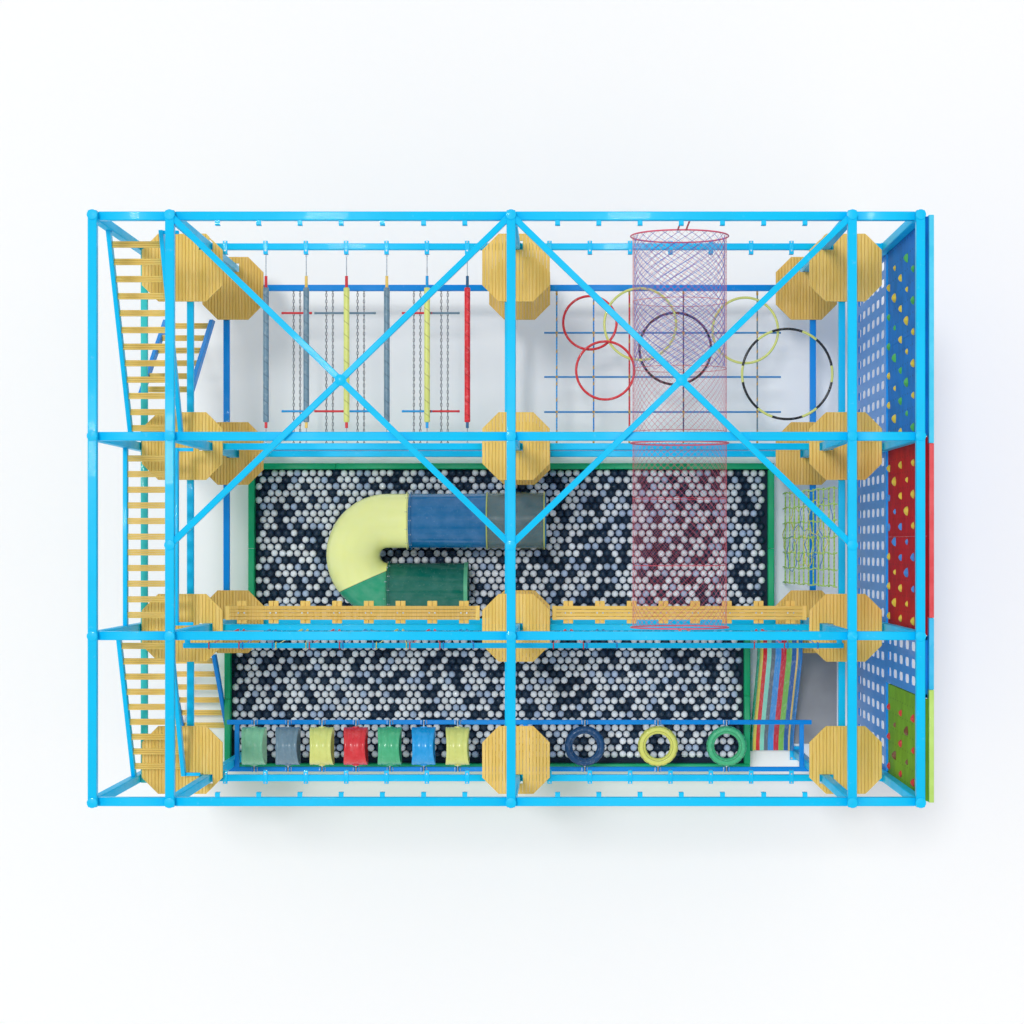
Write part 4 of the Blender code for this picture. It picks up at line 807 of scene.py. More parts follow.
# climbing wall: textured panels with screw-on grips, slotted panels, coloured edge strip
wall = {
    "face": columns[4] + half + 0.0005,
    "bottom": 3.25,
    "top": 6.15,
    "joint": 0.012,
    "sheet": 1.22, "sheetWidth": 1.25,      # one climbing sheet, about
    "gripPitchY": 0.36, "gripPitchZ": 0.50, "grip": 0.055, "gripHeight": 0.045,
    "greenEnd": rows[3] + 1.14,
    "slotPitchY": 0.215, "slotPitchZ": 0.46, "slotRadius": 0.052, "slotStraight": 0.19,
    "sheetThick": 0.006, "depth": 0.0398, "border": 0.08, "batten": 0.04,
    "holePitchY": 0.18, "holePitchZ": 0.20, "holeRadius": 0.01095,
}


def climbPanel(name, colour):
    # painted ply: cloudy paint with sand in it, and a bolt hole wherever both distances to the holes' grid
    # are short, painted near black as painted shade inside the hole
    paint = Paint(name, 0.62, shine=0.12)
    y, z = paint.axes()[1:]
    holeY = ((y / wall["holePitchY"]).calculate("FRACT") - 0.5) * wall["holePitchY"]
    holeZ = ((z / wall["holePitchZ"]).calculate("FRACT") - 0.5) * wall["holePitchZ"]
    hole = (holeY * holeY + holeZ * holeZ) < wall["holeRadius"] ** 2
    sand = paint.noise(140, 4)
    cloud = paint.noise(3.5, 4).soft(0.35, 0.7)
    tone = paint.mix(colour, darker(colour, 0.78), cloud)
    tone = paint.mix(tone, lighter(colour, 0.22), sand.soft(0.62, 0.75) * 0.5)
    # bolt holes are painted near black: painted shade inside each hole
    paint.feed("Base Color", paint.mix(tone, (0.01, 0.01, 0.012), hole))
    paint.feed("Roughness", 0.55 + sand * 0.2)
    paint.bump(sand - hole, 0.35, 0.0015)
    return paint.material


def slottedSheet(bag, near, far, low, high):
    # each cell is a ring of quads from an upright slot's outline out to the cell's edge; cells are welded to
    # their neighbours, copied through the sheet, and joined to the copy along every open edge
    countY, countZ = round((far - near) / wall["slotPitchY"]), round((high - low) / wall["slotPitchZ"])
    wide, tall = (far - near) / countY / 2, (high - low) / countZ / 2
    turn = np.linspace(0, math.pi, 10)
    arc = wall["slotRadius"] * np.stack([np.cos(turn), np.sin(turn)], -1) + (0, wall["slotStraight"] / 2)
    across = (1, 1, 1, 0.6, 0.2, -0.2, -0.6, -1, -1, -1)
    rim = np.stack([across, (0.3, 0.7, 1, 1, 1, 1, 1, 1, 0.7, 0.3)], -1) * (wide, tall)
    cell = np.concatenate([arc, -arc, rim, -rim])
    y, z = np.meshgrid(near + wide * (2 * np.arange(countY) + 1), low + tall * (2 * np.arange(countZ) + 1))
    centres = np.stack([y.ravel(), z.ravel()], -1)
    flat = (centres[:, None] + cell).reshape(-1, 2)
    rings = (netFaces(2, 20, False, True) + 40 * np.arange(len(centres))[:, None, None]).reshape(-1, 4)
    _, first, back = np.unique(np.round(flat, 5), axis=0, return_index=True, return_inverse=True)
    flat, rings = flat[first], back.reshape(-1)[rings]
    edges = np.concatenate([rings[:, [corner, (corner + 1) % 4]] for corner in range(4)])
    _, which, uses = np.unique(np.sort(edges, 1), axis=0, return_inverse=True, return_counts=True)
    a, b = edges[uses[which.reshape(-1)] == 1].T
    points = np.concatenate([np.column_stack([np.full(len(flat), wall["face"] + depth), flat])
                             for depth in (0.0, wall["sheetThick"])])
    bag.add(points, [rings, rings[:, ::-1] + len(flat), np.stack([b, a, a + len(flat), b + len(flat)], -1)])


def gripShape(sides=10, rings=6):
    # a lumpy dome: radius falls as a quarter cosine with height, and wobbles three times round
    angle = turns(sides)
    rise = np.linspace(0, 1, rings)
    radius = np.cos(rise * math.pi / 2 * 0.92)[:, None] ** 0.7 * (1 + 0.14 * np.sin(3 * angle + 0.6))[None]
    points = np.stack([-np.broadcast_to(rise[:, None], radius.shape), radius * np.cos(angle),
                       radius * np.sin(angle)], -1)
    return points.reshape(-1, 3), tubeFaces(rings, sides)


gripPoints, gripFaces = gripShape()


def addGrips(bag, start, end, slots):
    # the same staggered places as the solids' grips
    margin = half + 1.6 * wall["grip"]
    height = wall["top"] - grid["tube"] - wall["bottom"]
    lines = int((height - 2 * margin) / wall["gripPitchZ"]) + 1
    count = int((end - start - 2 * margin) / wall["gripPitchY"]) + 1
    line, index = np.meshgrid(np.arange(lines), np.arange(count), indexing="ij")
    y = start + margin + wall["gripPitchY"] / 2 * (line % 2) + wall["gripPitchY"] * index
    z = wall["bottom"] + margin + wall["gripPitchZ"] * line
    size = 0.8 + 0.2 * np.sin(3.1 * index + 1.7 * line)
    keep = (y < end - margin).ravel()
    y, z, size, turn = (item.ravel()[keep] for item in (y, z, size, 0.9 * (line * 3 + index * 2)))
    zero = np.zeros_like(y)
    ahead, over = wall["grip"] * size * np.cos(turn), wall["grip"] * size * np.sin(turn)
    matrix = np.stack([np.stack([wall["gripHeight"] * size, zero, zero], -1),
                       np.stack([zero, ahead, -over], -1), np.stack([zero, over, ahead], -1)], 1)
    places = np.stack([zero + wall["face"] + 0.001, y, z], -1)
    kind = (np.arange(len(y)) * 7 % 5) % len(slots)
    for choice, slot in enumerate(slots):
        chosen = kind == choice
        repeat(bag, gripPoints, gripFaces, places[chosen], matrix[chosen], slot)


def addSheets(bag, start, end):
    # sheets laid edge to edge, each with eased edges
    bottom, top, joint = wall["bottom"], wall["top"], wall["joint"] / 2
    levels = np.linspace(bottom, top, round((top - bottom) / wall["sheet"]) + 1)
    stretches = np.linspace(start + joint, end - joint, round((end - start) / wall["sheetWidth"]) + 1)
    for low, high in zip(levels, levels[1:]):
        for near, far in zip(stretches, stretches[1:]):
            block(bag, (wall["face"], near + 0.001, low + 0.001),
                  (wall["face"] + wall["depth"], far - 0.001, high - 0.001), 0.003)


gripColours = {
    "gripYellow": rgb(232, 205, 60), "gripGreen": rgb(70, 180, 80), "gripRed": rgb(215, 50, 45),
    "gripBrown": rgb(120, 70, 40), "gripBlue": rgb(60, 140, 220),
}
grips = {name: moulded(name, colour, 0.5, 0.2) for name, colour in gripColours.items()}
for name, start, end, colour, kinds in (
        ("Blue", rows[1], rows[0], rgb(0, 128, 214), ("gripYellow", "gripGreen")),
        ("Red", rows[2], rows[1], rgb(200, 18, 36), ("gripYellow", "gripBlue")),
        ("Green", rows[3], wall["greenEnd"], rgb(122, 176, 38), ("gripRed", "gripBrown"))):
    bag = Bag()
    addSheets(bag, start, end)
    addGrips(bag, start, end, (1, 2))
    panel = climbPanel("climb" + name, colour)
    bag.build("wallPanel" + name, "frame", "wall_" + name.lower(), [panel, *(grips[kind] for kind in kinds)],
              ["wall_panel_" + name.lower()])

bag = Bag()
for low, high, start, end, bays in (
        (0.15, 3.05, rows[3] + 0.006, rows[0] - 0.006, ((-3.175, -1.455), (-1.34, 0.74), (0.855, 3.175))),
        (3.051, 6.149, wall["greenEnd"] + 0.006, rows[2] - 0.006, ((-2.04, -1.455),))):
    # thin slotted sheets in a plain border at the front, on battens as deep as the panel
    front = (wall["face"], wall["face"] + wall["sheetThick"])
    back = (front[1] - 0.001, wall["face"] + wall["depth"])
    bottom, top = low + wall["border"], high - wall["border"]
    sides = [start, *(side for bay in bays for side in bay), end]
    for z0, z1 in ((low, bottom), (top, high)):
        block(bag, (front[0], start, z0), (front[1], end, z1), 0.001)
    for y0, y1 in zip(sides[::2], sides[1::2]):
        block(bag, (front[0], y0, bottom), (front[1], y1, top), 0.001)
    for y0, y1 in bays:
        slottedSheet(bag, y0, y1, bottom, top)
    for z in (low, high - 0.045):
        block(bag, (back[0], start, z), (back[1], end, z + 0.045), 0.003, 1)
    between = [row - wall["batten"] / 2 for row in rows[1:3] if start < row < end - 0.1]
    for y in (start, *between, end - wall["batten"]):
        block(bag, (back[0], y, low), (back[1], y + wall["batten"], high), 0.003, 1)
slottedBlue = moulded("slottedBlue", rgb(0, 142, 232), 0.36)
bag.build("slottedPanels", "frame", "wall_perforated", [slottedBlue, steelDeep], ["perforated_panels"])

bag = Bag()
edgeStarts = (rows[3], rows[3] + 1.24, -1.20, 0.72, rows[0])
edgeColours = [moulded(name, tint, 0.35) for name, tint in (
    ("edgeGreen", rgb(188, 226, 110)), ("edgeCyan", rgb(40, 190, 240)),
    ("edgeRed", rgb(226, 70, 78)), ("edgeSky", rgb(60, 208, 248)))]
for index, (start, end) in enumerate(zip(edgeStarts, edgeStarts[1:])):
    block(bag, (wall["face"] + 0.0405, start + 0.002, grid["roofTop"] - 0.169),
          (wall["face"] + 0.0950, end - 0.002, grid["roofTop"] - 0.001), 0.008, index)
bag.build("wallEdge", "frame", "trim", edgeColours, ["wall_trim"])
print("climbing wall built")


# ball pit: coated wall boards, mat, and a bed of loose balls
pit = {
    "height": 0.55, "wall": 0.08, "shift": 0.32, "width": 7.045, "gap": 0.005,
    "mat": 0.04, "level": 0.43, "board": 1.15,
    "ball": 0.049, "spread": 0.1040, "heave": 0.014, "stray": 0.010,
}
inner = steel["plateInner"] / 2
rear = (columns[1] + inner + pit["gap"], columns[1] + inner + pit["gap"] + pit["width"],
        rows[2] - inner - 2 * pit["gap"], rows[1] - inner - pit["gap"])
fore = (rear[0] - pit["shift"], rear[1] - pit["shift"], rows[3] - steel["plateOuter"] / 2, rear[2])
thick = pit["wall"]
bag = Bag()
for low, high in (((rear[0], rear[3] - thick), (rear[1], rear[3])),
                  ((rear[1] - thick, rear[2]), (rear[1], rear[3] - thick)),
                  ((rear[0], rear[2] + 0.001), (rear[0] + thick, rear[3] - thick)),
                  ((fore[1] - thick + 0.001, rear[2]), (rear[1] - thick, rear[2] + thick)),
                  ((fore[1] - thick, fore[2] + thick), (fore[1], fore[3] - 0.001)),
                  ((fore[0], fore[3] - thick), (rear[0] + thick, fore[3])),
                  ((fore[0], fore[2] + thick), (fore[0] + thick, fore[3] - thick)),
                  ((fore[0], fore[2]), (fore[1], fore[2] + thick))):
    size = np.array(high) - np.array(low)
    axis = int(np.argmax(size))
    pieces = max(1, round(float(size[axis]) / pit["board"]))     # boards with a seam between each two
    cuts = np.linspace(low[axis], high[axis], pieces + 1)
    for start, end in zip(cuts, cuts[1:]):
        lowCorner, highCorner = [*low, 0.0], [*high, pit["height"] - 0.001]
        lowCorner[axis], highCorner[axis] = start + 0.002, end - 0.002
        block(bag, lowCorner, highCorner, 0.012)
bag.build("pitWalls", "frame", "pit_padding", [foam("pitCoat", colours["pit"], 0.45)], ["pit_walls"])


def inPit(x, y, gap):
    # true where a place lies inside the walls of a bay, or in the neck between them, with a gap to them
    gap, inside = gap + thick, False
    neck = (rear[0], fore[1], fore[3] - 0.3 - gap, rear[2] + 0.3 + gap)
    for left, right, front, back in (rear, fore, neck):
        inside |= (x > left + gap) & (x < right - gap) & (y > front + gap) & (y < back - gap)
    return inside


def wave(*values):
    # a repeatable number from 0 to 1 for each place: the fraction of a very steep sine of their sum
    total = sum(value * scale for value, scale in zip(values, (12.9898, 78.233, 37.719)))
    return np.modf(np.abs(np.sin(total) * 43758.5453))[0]


legSpots = ((-0.73, -0.08), (-2.145, -0.535))      # the tube slide's legs
stepX, stepY = pit["spread"], pit["spread"] * math.sqrt(3) / 2
line, index = np.meshgrid(np.arange(-30, 20), np.arange(-6, 76), indexing="ij")
x = (rear[0] + thick + pit["ball"] + index * stepX + (line % 2) * stepX / 2).ravel()
y = (rear[3] - thick - pit["ball"] - (line + 30) * stepY).ravel()
order = np.arange(len(x))
# even steps that never line up, and some chance, spread the tints
pick = np.modf(index.ravel() * 0.7549 + line.ravel() * 0.5698 + 40 + wave(order, y) * 0.45)[0]
x = x + (wave(order, x) - 0.5) * pit["stray"]
y = y + (wave(y, order) - 0.5) * pit["stray"]
z = pit["level"] - 0.020 + (wave(x, y, order) - 0.5) * 2 * pit["heave"]
free = inPit(x, y, pit["ball"] * 0.88)
uprights = [(px, py, half) for px in columns for py in rows] + [(px, py, 0.035) for px, py in legSpots]
for px, py, clear in uprights:
    free &= np.maximum(np.abs(x - px), np.abs(y - py)) > clear + pit["ball"] * 0.9
x, y, z, pick = (item[free] for item in (x, y, z, pick))
ballPoints, ballFaces = ballShape(pit["ball"])


def ballSkin(name, colour):
    # blown plastic: each ball a little darker or paler than its neighbour, with a faint seam of dust
    paint = Paint(name, 0.3, 0.0, 0.1)
    own = paint.axes(paint.run())[2]
    dust = paint.noise(24, 3).soft(0.45, 0.75)
    tone = paint.mix(colour, darker(colour, 0.78), own)
    paint.feed("Base Color", paint.mix(tone, darker(colour, 0.86), dust * 0.5))
    paint.feed("Roughness", 0.28 + dust * 0.15)
    paint.bump(paint.noise(160, 2), 0.06, 0.0004)
    return paint.material


# tint, and the shares between which its balls are picked
for tint, colour, low, high in (("Pale", rgb(247, 251, 255), 0.0, 0.59),
                                ("Dark", rgb(28, 54, 78), 0.59, 0.86),
                                ("Grey", rgb(186, 204, 230), 0.86, 1.01)):
    chosen = (pick >= low) & (pick < high)
    bag = Bag()
    repeat(bag, ballPoints, ballFaces, np.stack([x, y, z], -1)[chosen], marks=wave(y, x)[chosen])
    bag.build("balls" + tint, "frame", "balls", [ballSkin("ball" + tint, colour)],
              ["ball_fill"] if tint == "Pale" else (), sharp=0)
print("balls laid:", len(x))

# a dark bed under the top layer of balls: painted shade for the balls deeper in the pit, seen in the gaps
bag = Bag()
bed = pit["level"] - 0.036
for low, high in (((rear[0] + thick, rear[2] + 0.001), (rear[1] - thick, rear[3] - thick)),
                  ((fore[0] + thick, fore[2] + thick), (fore[1] - thick, fore[3] - thick)),
                  ((rear[0] + thick + 0.001, fore[3] - thick), (fore[1] - thick - 0.001, fore[3] + 0.001))):
    block(bag, (low[0] + 0.001, low[1] + 0.001, pit["mat"] + 0.001), (high[0] - 0.001, high[1] - 0.001, bed),
          0.004)
bag.build("ballBed", "frame", "balls", [foam("ballBedPaintedShade", rgb(30, 44, 66), 0.9)])

for node, colour in (("pit_mat", rgb(120, 124, 132)), ("aisle_mat", rgb(158, 158, 160))):
    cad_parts[node].material_slots[0].material = foam(node.replace("_", "") + "Foam", colour)


# tube slide: thin-walled sections with bolted flanges, on two legs
slide = {
    "radius": 0.355, "wall": 0.012, "mouth": (0.40, -0.08, 1.45), "fall": 0.14,
    "straight": 1.80, "lead": 0.29, "bend": 0.455, "exit": 1.05,
    "collar": 0.78, "sides": 48,
}
bendStart = slide["straight"] + slide["lead"]
bendEnd = bendStart + math.pi * slide["bend"]


def slideLine(distance):
    # straight to the left, a half turn toward the front, then straight back to the right, falling evenly
    distance = np.asarray(distance, float)
    angle = np.clip((distance - bendStart) / slide["bend"], 0, math.pi)
    rest = np.maximum(distance - bendEnd, 0)
    x = slide["mouth"][0] - np.minimum(distance, bendStart) - slide["bend"] * np.sin(angle) + rest
    y = slide["mouth"][1] - slide["bend"] * (1 - np.cos(angle))
    return np.stack([x, y, slide["mouth"][2] - slide["fall"] * distance], -1)


def slideAhead(distance):
    # level direction of the centre line, and the one square to it
    ahead = unit((slideLine(distance + 0.001) - slideLine(distance)) * (1, 1, 0))
    return ahead, np.cross(ahead, (0, 0, 1.0))


def tubeShell(bag, start, end, steps, outer, bore, slot=0, ribs=0.0, ribPitch=0.3):
    # outer and inner skins round the centre line, joined at both ends: line + radius * (side cos + up sin);
    # ribs swell the outer skin by a bell curve at each pitch
    distance = np.linspace(start, end, steps + 1)
    path = slideLine(distance)
    along = unit((slideLine(distance + 0.001) - slideLine(distance - 0.001)) * (1, 1, 0))
    side = np.cross(along, (0, 0, 1.0))
    angle = turns(slide["sides"])
    spoke = side[:, None] * np.cos(angle)[:, None] + np.array((0, 0, 1.0)) * np.sin(angle)[:, None]
    phase = np.modf((distance - start) / ribPitch)[0]
    swell = ribs * np.exp(-((phase - 0.5) / 0.13) ** 2)
    skins = [path[:, None] + spoke * (outer - ribs + swell)[:, None, None], path[:, None] + spoke * bore]
    points = np.concatenate([skins[0], skins[1][::-1]])
    count = 2 * (steps + 1)
    run = np.zeros((count, slide["sides"], 3))
    run[..., 0] = np.concatenate([distance, distance[::-1]])[:, None]
    run[..., 1] = angle[None] * outer
    bag.add(points, [netFaces(count, slide["sides"], True, True)], slot, run)


def flange(bag, distance, thick, reach, bolts=12):
    # a collar that stands out by the reach, with bolts through it round the tube
    tubeShell(bag, distance, distance + thick, 1, slide["radius"] - 0.0005 + reach, slide["radius"] - 0.006)
    ahead, side = slideAhead(distance)
    for spot in ringPath(slideLine(distance), slide["radius"] + reach * 0.42, turns(bolts), side,
                         (0, 0, 1.0)):
        lathe(bag, ((0.008, -0.006), (0.008, thick + 0.006), (0.0005, thick + 0.007)), spot, ahead, 6, 1)


def bendPlastic(name, first, second):
    # two colours of shell meet in an upright plane across the bend
    paint = Paint(name, 0.16, 0.0, 0.2)
    x, y = paint.axes()[:2]
    side = y - (x + 1.58) * 0.447 + 0.685
    mottle = paint.noise(7, 4).soft(0.3, 0.7)
    tone = paint.mix(first, second, side < 0.0)
    tone = paint.mix(tone, (0.02, 0.05, 0.03), side.near(0.0, 0.004) * 0.7)
    paint.feed("Base Color", paint.mix(tone, (0.9, 0.92, 0.85), mottle * 0.06))
    paint.feed("Roughness", 0.14 + mottle * 0.1)
    paint.bump(paint.noise(220, 2), 0.06, 0.0005)
    return paint.material


outer, bore, exitEnd = slide["radius"], slide["radius"] - slide["wall"], bendEnd + slide["exit"]
bag = Bag()
tubeShell(bag, 0.0, slide["straight"] - 0.002, 60, outer, bore)
tubeShell(bag, 0.0, 0.03, 2, outer + 0.0015, bore - 0.004)
flange(bag, slide["straight"] - 0.035, 0.014, 0.028)
navy = moulded("slideNavy", rgb(0, 106, 162), 0.10, 0.03)
bag.build("slideStraight", "frame", "slide_navy", [navy, boltSteel], ["slide_straight"], sharp=50)

bag = Bag()
tubeShell(bag, slide["straight"], bendEnd - 0.003, 96, outer, bore)
for distance in (slide["straight"] + 0.016, bendEnd - 0.030):
    flange(bag, distance, 0.012, 0.026, bolts=10)
lime = bendPlastic("slideLime", rgb(250, 252, 164), rgb(36, 160, 118))
bag.build("slideBend", "frame", "slide_lime", [lime, boltSteel], ["slide_bend"], sharp=50)

bag = Bag()
tubeShell(bag, bendEnd, exitEnd, 40, outer, bore)
flange(bag, bendEnd + 0.014, 0.014, 0.028)
tubeShell(bag, exitEnd - 0.05, exitEnd, 2, outer + 0.010, outer - 0.004, 2)
green, lip = moulded("slideGreen", rgb(0, 108, 90), 0.14, 0.05), moulded("slideLip", rgb(96, 186, 140), 0.3)
bag.build("slideExit", "frame", "slide_green", [green, boltSteel, lip], ["slide_exit"], sharp=50)

bag = Bag()
tubeShell(bag, 0.018, slide["collar"], 30, outer + 0.0215, outer + 0.0025, 0, 0.004, 0.19)
for distance in (0.0175, slide["collar"] - 0.0165):      # a solid rim at each end of the clear sleeve
    tubeShell(bag, distance, distance + 0.017, 1, outer + 0.0218, outer + 0.0022, 1)
olive = moulded("slideOlive", colours["olive"], 0.22, 0.10, 0.20)
rim = moulded("slideRim", rgb(176, 186, 96), 0.25)
bag.build("slideCollar", "frame", "slide_olive", [olive, rim], ["slide_collar"], sharp=50)

bag = Bag()
legs = (slide["collar"] + 0.35, bendEnd - math.pi * slide["bend"] / 2)
for distance in legs:
    x, y, z = slideLine(distance)
    top = z - slide["radius"] - 0.008
    block(bag, (x - 0.035, y - 0.035, pit["mat"] + 0.0005), (x + 0.035, y + 0.035, top - 0.004), 0.007)
    ahead, side = np.abs(slideAhead(distance))
    reach = side * 0.25 + ahead * 0.036       # a cross bar under the tube
    block(bag, (x - reach[0], y - reach[1], top - 0.030), (x + reach[0], y + reach[1], top), 0.007)
(x0, y0, _), (x1, y1, _) = slideLine(legs[0]), slideLine(legs[1])
# a bar along the mat from leg to leg, with one corner
block(bag, (x1, y1 - 0.034, pit["mat"] + 0.0010), (x0, y1 + 0.034, pit["mat"] + 0.030), 0.007)
block(bag, (x0 - 0.034, y0, pit["mat"] + 0.0012), (x0 + 0.034, y1, pit["mat"] + 0.029), 0.007)
bag.build("slideLegs", "frame", "frame_blue", [steelBlue], ["slide_supports"])
print("tube slide built")


# striped slide: a dished chute with rolled curbs, coloured in lengthwise bands
chute = {
    "left": fore[1] + 0.03, "width": 0.58, "thick": 0.035, "endZ": 0.14, "runOut": 0.16,
    # share of the width at which each band starts, and its tint
    "bands": ((0.0, rgb(0, 150, 110)), (0.04, rgb(236, 226, 90)), (0.13, rgb(226, 36, 44)),
              (0.22, rgb(140, 225, 205)),
              (0.32, rgb(96, 112, 128)), (0.41, rgb(50, 150, 228)), (0.54, rgb(206, 24, 56)),
              (0.66, rgb(120, 190, 80)),
              (0.78, rgb(0, 92, 170)), (0.88, rgb(232, 200, 120)), (0.92, rgb(40, 130, 205))),
}
chute["right"] = chute["left"] + chute["width"]
top = grid["lowerDeck"] + 0.0005 + chute["thick"]
edge = deck["lines"][2] - deck["depth"] / 2 - 0.02
end = rows[3] + half


def bandedPlastic(name, left, right, tints):
    # bands of colour from left to right, dulled where riders slide
    paint = Paint(name, 0.26, 0.0, 0.3)
    share = (paint.axes()[0] - left) / (right - left)
    tone = paint.banded(share, tints)
    wear = paint.noise(12, 5, stretch=(3, 0.5, 1)).soft(0.5, 0.72)
    paint.feed("Base Color", paint.mix(tone, (0.75, 0.75, 0.75), wear * 0.18))
    paint.feed("Roughness", 0.24 + wear * 0.25)
    paint.bump(paint.noise(180, 2), 0.08, 0.0005)
    return paint.material


level = end + chute["runOut"]
knots = np.array([(edge + 0.34, top), (edge + 0.02, top), (edge - 0.06, top - 0.035),
                  (level + 0.12, chute["endZ"] + 0.10), (level - 0.02, chute["endZ"] + 0.004),
                  (end, chute["endZ"])])
at = lengths(knots)
fine = np.linspace(0, at[-1], 60)
line = np.column_stack([np.interp(fine, at, knots[:, 0]), np.interp(fine, at, knots[:, 1])])
for _ in range(3):             # ease the corners of the line
    line[1:-1] = (line[:-2] + 2 * line[1:-1] + line[2:]) / 4
wide = chute["width"] / 2
middle = (chute["left"] + chute["right"]) / 2
# half of the section, from the middle out: how far across, and how high the floor or the curb stands
across = np.array([0.12, wide - 0.075, wide - 0.040, wide - 0.026, wide - 0.018, wide - 0.005, wide])
lift = np.array([0.001, 0.006, 0.030, 0.118, 0.129, 0.126, 0.112])
across, lift = np.concatenate([-across[::-1], [0], across]), np.concatenate([lift[::-1], [0], lift])
under = np.where(np.abs(across) < wide - 0.05, -0.034, -0.033)
outline = np.column_stack([np.concatenate([across, across[::-1]]), np.concatenate([lift, under])])
points = np.stack(np.broadcast_arrays(middle + outline[None, :, 0], line[:, None, 0],
                                      line[:, None, 1] + outline[None, :, 1]), -1)
bag = Bag()
bag.add(points, tubeFaces(len(line), len(outline)))
for x in (chute["left"] + 0.05, chute["right"] - 0.05):
    block(bag, (x - 0.024, end + 0.081, 0), (x + 0.024, end + 0.129, chute["endZ"] - 0.012), 0.006, 1)
bands = bandedPlastic("chuteBands", chute["left"], chute["right"], chute["bands"])
bag.build("stripedSlide", "frame", "chute_plastic", [bands, steelDeep], ["striped_slide"], sharp=60)
print("striped slide built")


# rollers: padded poles on spindles; each spins about its own line
roller = {
    "radius": 0.036, "length": 1.64, "neck": 0.018, "neckLength": 0.14, "spindle": 0.006,
    "z": grid["upperBeamTop"] - 0.04, "middle": (rows[0] + rows[1]) / 2 - 0.10,
    # tint of the sleeve, of the necks, and the part's slot
    "tints": (("greyBlue", "red", "roller_grey_blue"), ("greyBlue", "wood", "roller_grey_blue"),
              ("lime", "red", "roller_lime"), ("greyBlue", "wood", "roller_grey_blue"),
              ("lime", "sky", "roller_lime"), ("red", "navy", "roller_red")),
}


def rollerSkin(name, colour):
    # wrapped sleeve: a slanting lap seam and fine scuffs
    paint = Paint(name, 0.42, 0.0, 0.1)
    along, girth = paint.axes(paint.run())[:2]
    lap = (along / 0.16 + girth / 0.226).calculate("FRACT").near(0.5, 0.035)
    scuff = paint.noise(26, 5).soft(0.52, 0.7)
    tone = paint.mix(colour, lighter(colour, 0.3), scuff * 0.4)
    paint.feed("Base Color", paint.mix(tone, darker(colour, 0.5), lap * 0.8))
    paint.feed("Roughness", 0.38 + scuff * 0.2)
    paint.bump(1 - lap, 0.4, 0.0015)
    return paint.material


near = rows[1] + 0.041
far = rows[0] - 0.04 - 0.055 - 0.001
start, stop = roller["middle"] - roller["length"] / 2, roller["middle"] + roller["length"] / 2
r, n, s = roller["radius"], roller["neck"], roller["spindle"]
# the sleeve swells and shrinks a little along its length
share = np.arange(1, 24)
sleeve = np.column_stack([r * 0.985 + 0.0005 * np.sin(share * 1.7),
                          start + 0.014 + (roller["length"] - 0.028) * share / 24])
sleeve = [(0.0005, start), (n, start), (r * 0.90, start + 0.004), (r, start + 0.014), *sleeve,
          (r, stop - 0.014), (r * 0.90, stop - 0.004), (n, stop), (0.0005, stop)]
for index, x in enumerate(spots(1, steel["bracketPitch"], steel["bracketShifts"][0])[1:]):
    number, centre, axis = index + 1, (x, 0, roller["z"]), (0, 1, 0)
    tint, neckTint, slotName = roller["tints"][index]
    bag = Bag()
    lathe(bag, sleeve, centre, axis, 28)
    for low, high in ((start - 0.07, start + 0.002), (stop - 0.002, stop + roller["neckLength"])):
        lathe(bag, ((s, low), (n - 0.001, low), (n, low + 0.003), (n, high - 0.003), (n - 0.001, high),
                    (s, high)),
              centre, axis, 20, 1)
    lathe(bag, ((0.0005, near), (s - 0.0002, near + 0.0006), (s - 0.0002, far - 0.0006), (0.0005, far)),
          centre, axis, 12, 2)
    for place in (near + 0.004, far - 0.020):      # lock nuts at the ends of the spindle
        lathe(bag, ((0.0125, place), (0.0125, place + 0.010), (0.006, place + 0.012)), centre, axis, 6, 2)
    skins = [rollerSkin(f"rollerSkin{number}", colours[tint]),
             moulded(f"rollerNeck{number}", colours[neckTint])]
    bag.build(f"roller{number}", f"roller_{number}", slotName, [*skins, boltSteel], [f"roller_{number}"])
print("rollers built")


# chain walk: real links between two end bars, with step bars across each pair
chain = {
    "offsets": (0.82, 1.25, 1.66, 2.40, 2.76), "apart": 0.085, "linkLength": 0.052, "linkWidth": 0.026,
    "wire": 0.0042, "pitch": 0.0425, "sag": 0.006, "bar": 0.40, "barRadius": 0.016, "insets": (0.29, 1.58),
    "frontBar": (rows[1] + 0.045, rows[1] + 0.125), "backBar": (rows[0] - 0.29, rows[0] - 0.21),
}
netLevel = grid["lowerBeamTop"] - 0.04
frontEdge, backEdge = chain["frontBar"][1], chain["backBar"][0]


def linkShape(sides=5, steps=12):
    # a wire round a stadium outline: two half circles joined by straights, along Y
    angle = turns(steps) + math.pi / steps
    radius = (chain["linkWidth"] - chain["wire"] * 2) / 2
    reach = chain["linkLength"] / 2 - chain["wire"] - radius
    path = ringPath((0, 0, 0), radius, angle)
    path[:, 1] += np.sign(np.sin(angle)) * reach
    bag = Bag()
    sweep(bag, path, circle(chain["wire"], sides), loop=True)
    return bag.points[0], [bag.faces[0]]


linkPoints, linkFaces = linkShape()
upright = np.array([[0, 0, 1], [0, 1, 0], [-1, 0, 0]], float)


def endBars(bag, bay, leftBack, rightBack):
    # the bars that carry a bay's chains or ropes in front and behind
    left, right = columns[bay] + half + 0.001, columns[bay + 1] - half - 0.001
    for y, start, end in ((sum(chain["frontBar"]) / 2, left, right),
                          (sum(chain["backBar"]) / 2, leftBack, rightBack)):
        squareTube(bag, (start, y, netLevel), (end, y, netLevel), steel["beam"], 1)


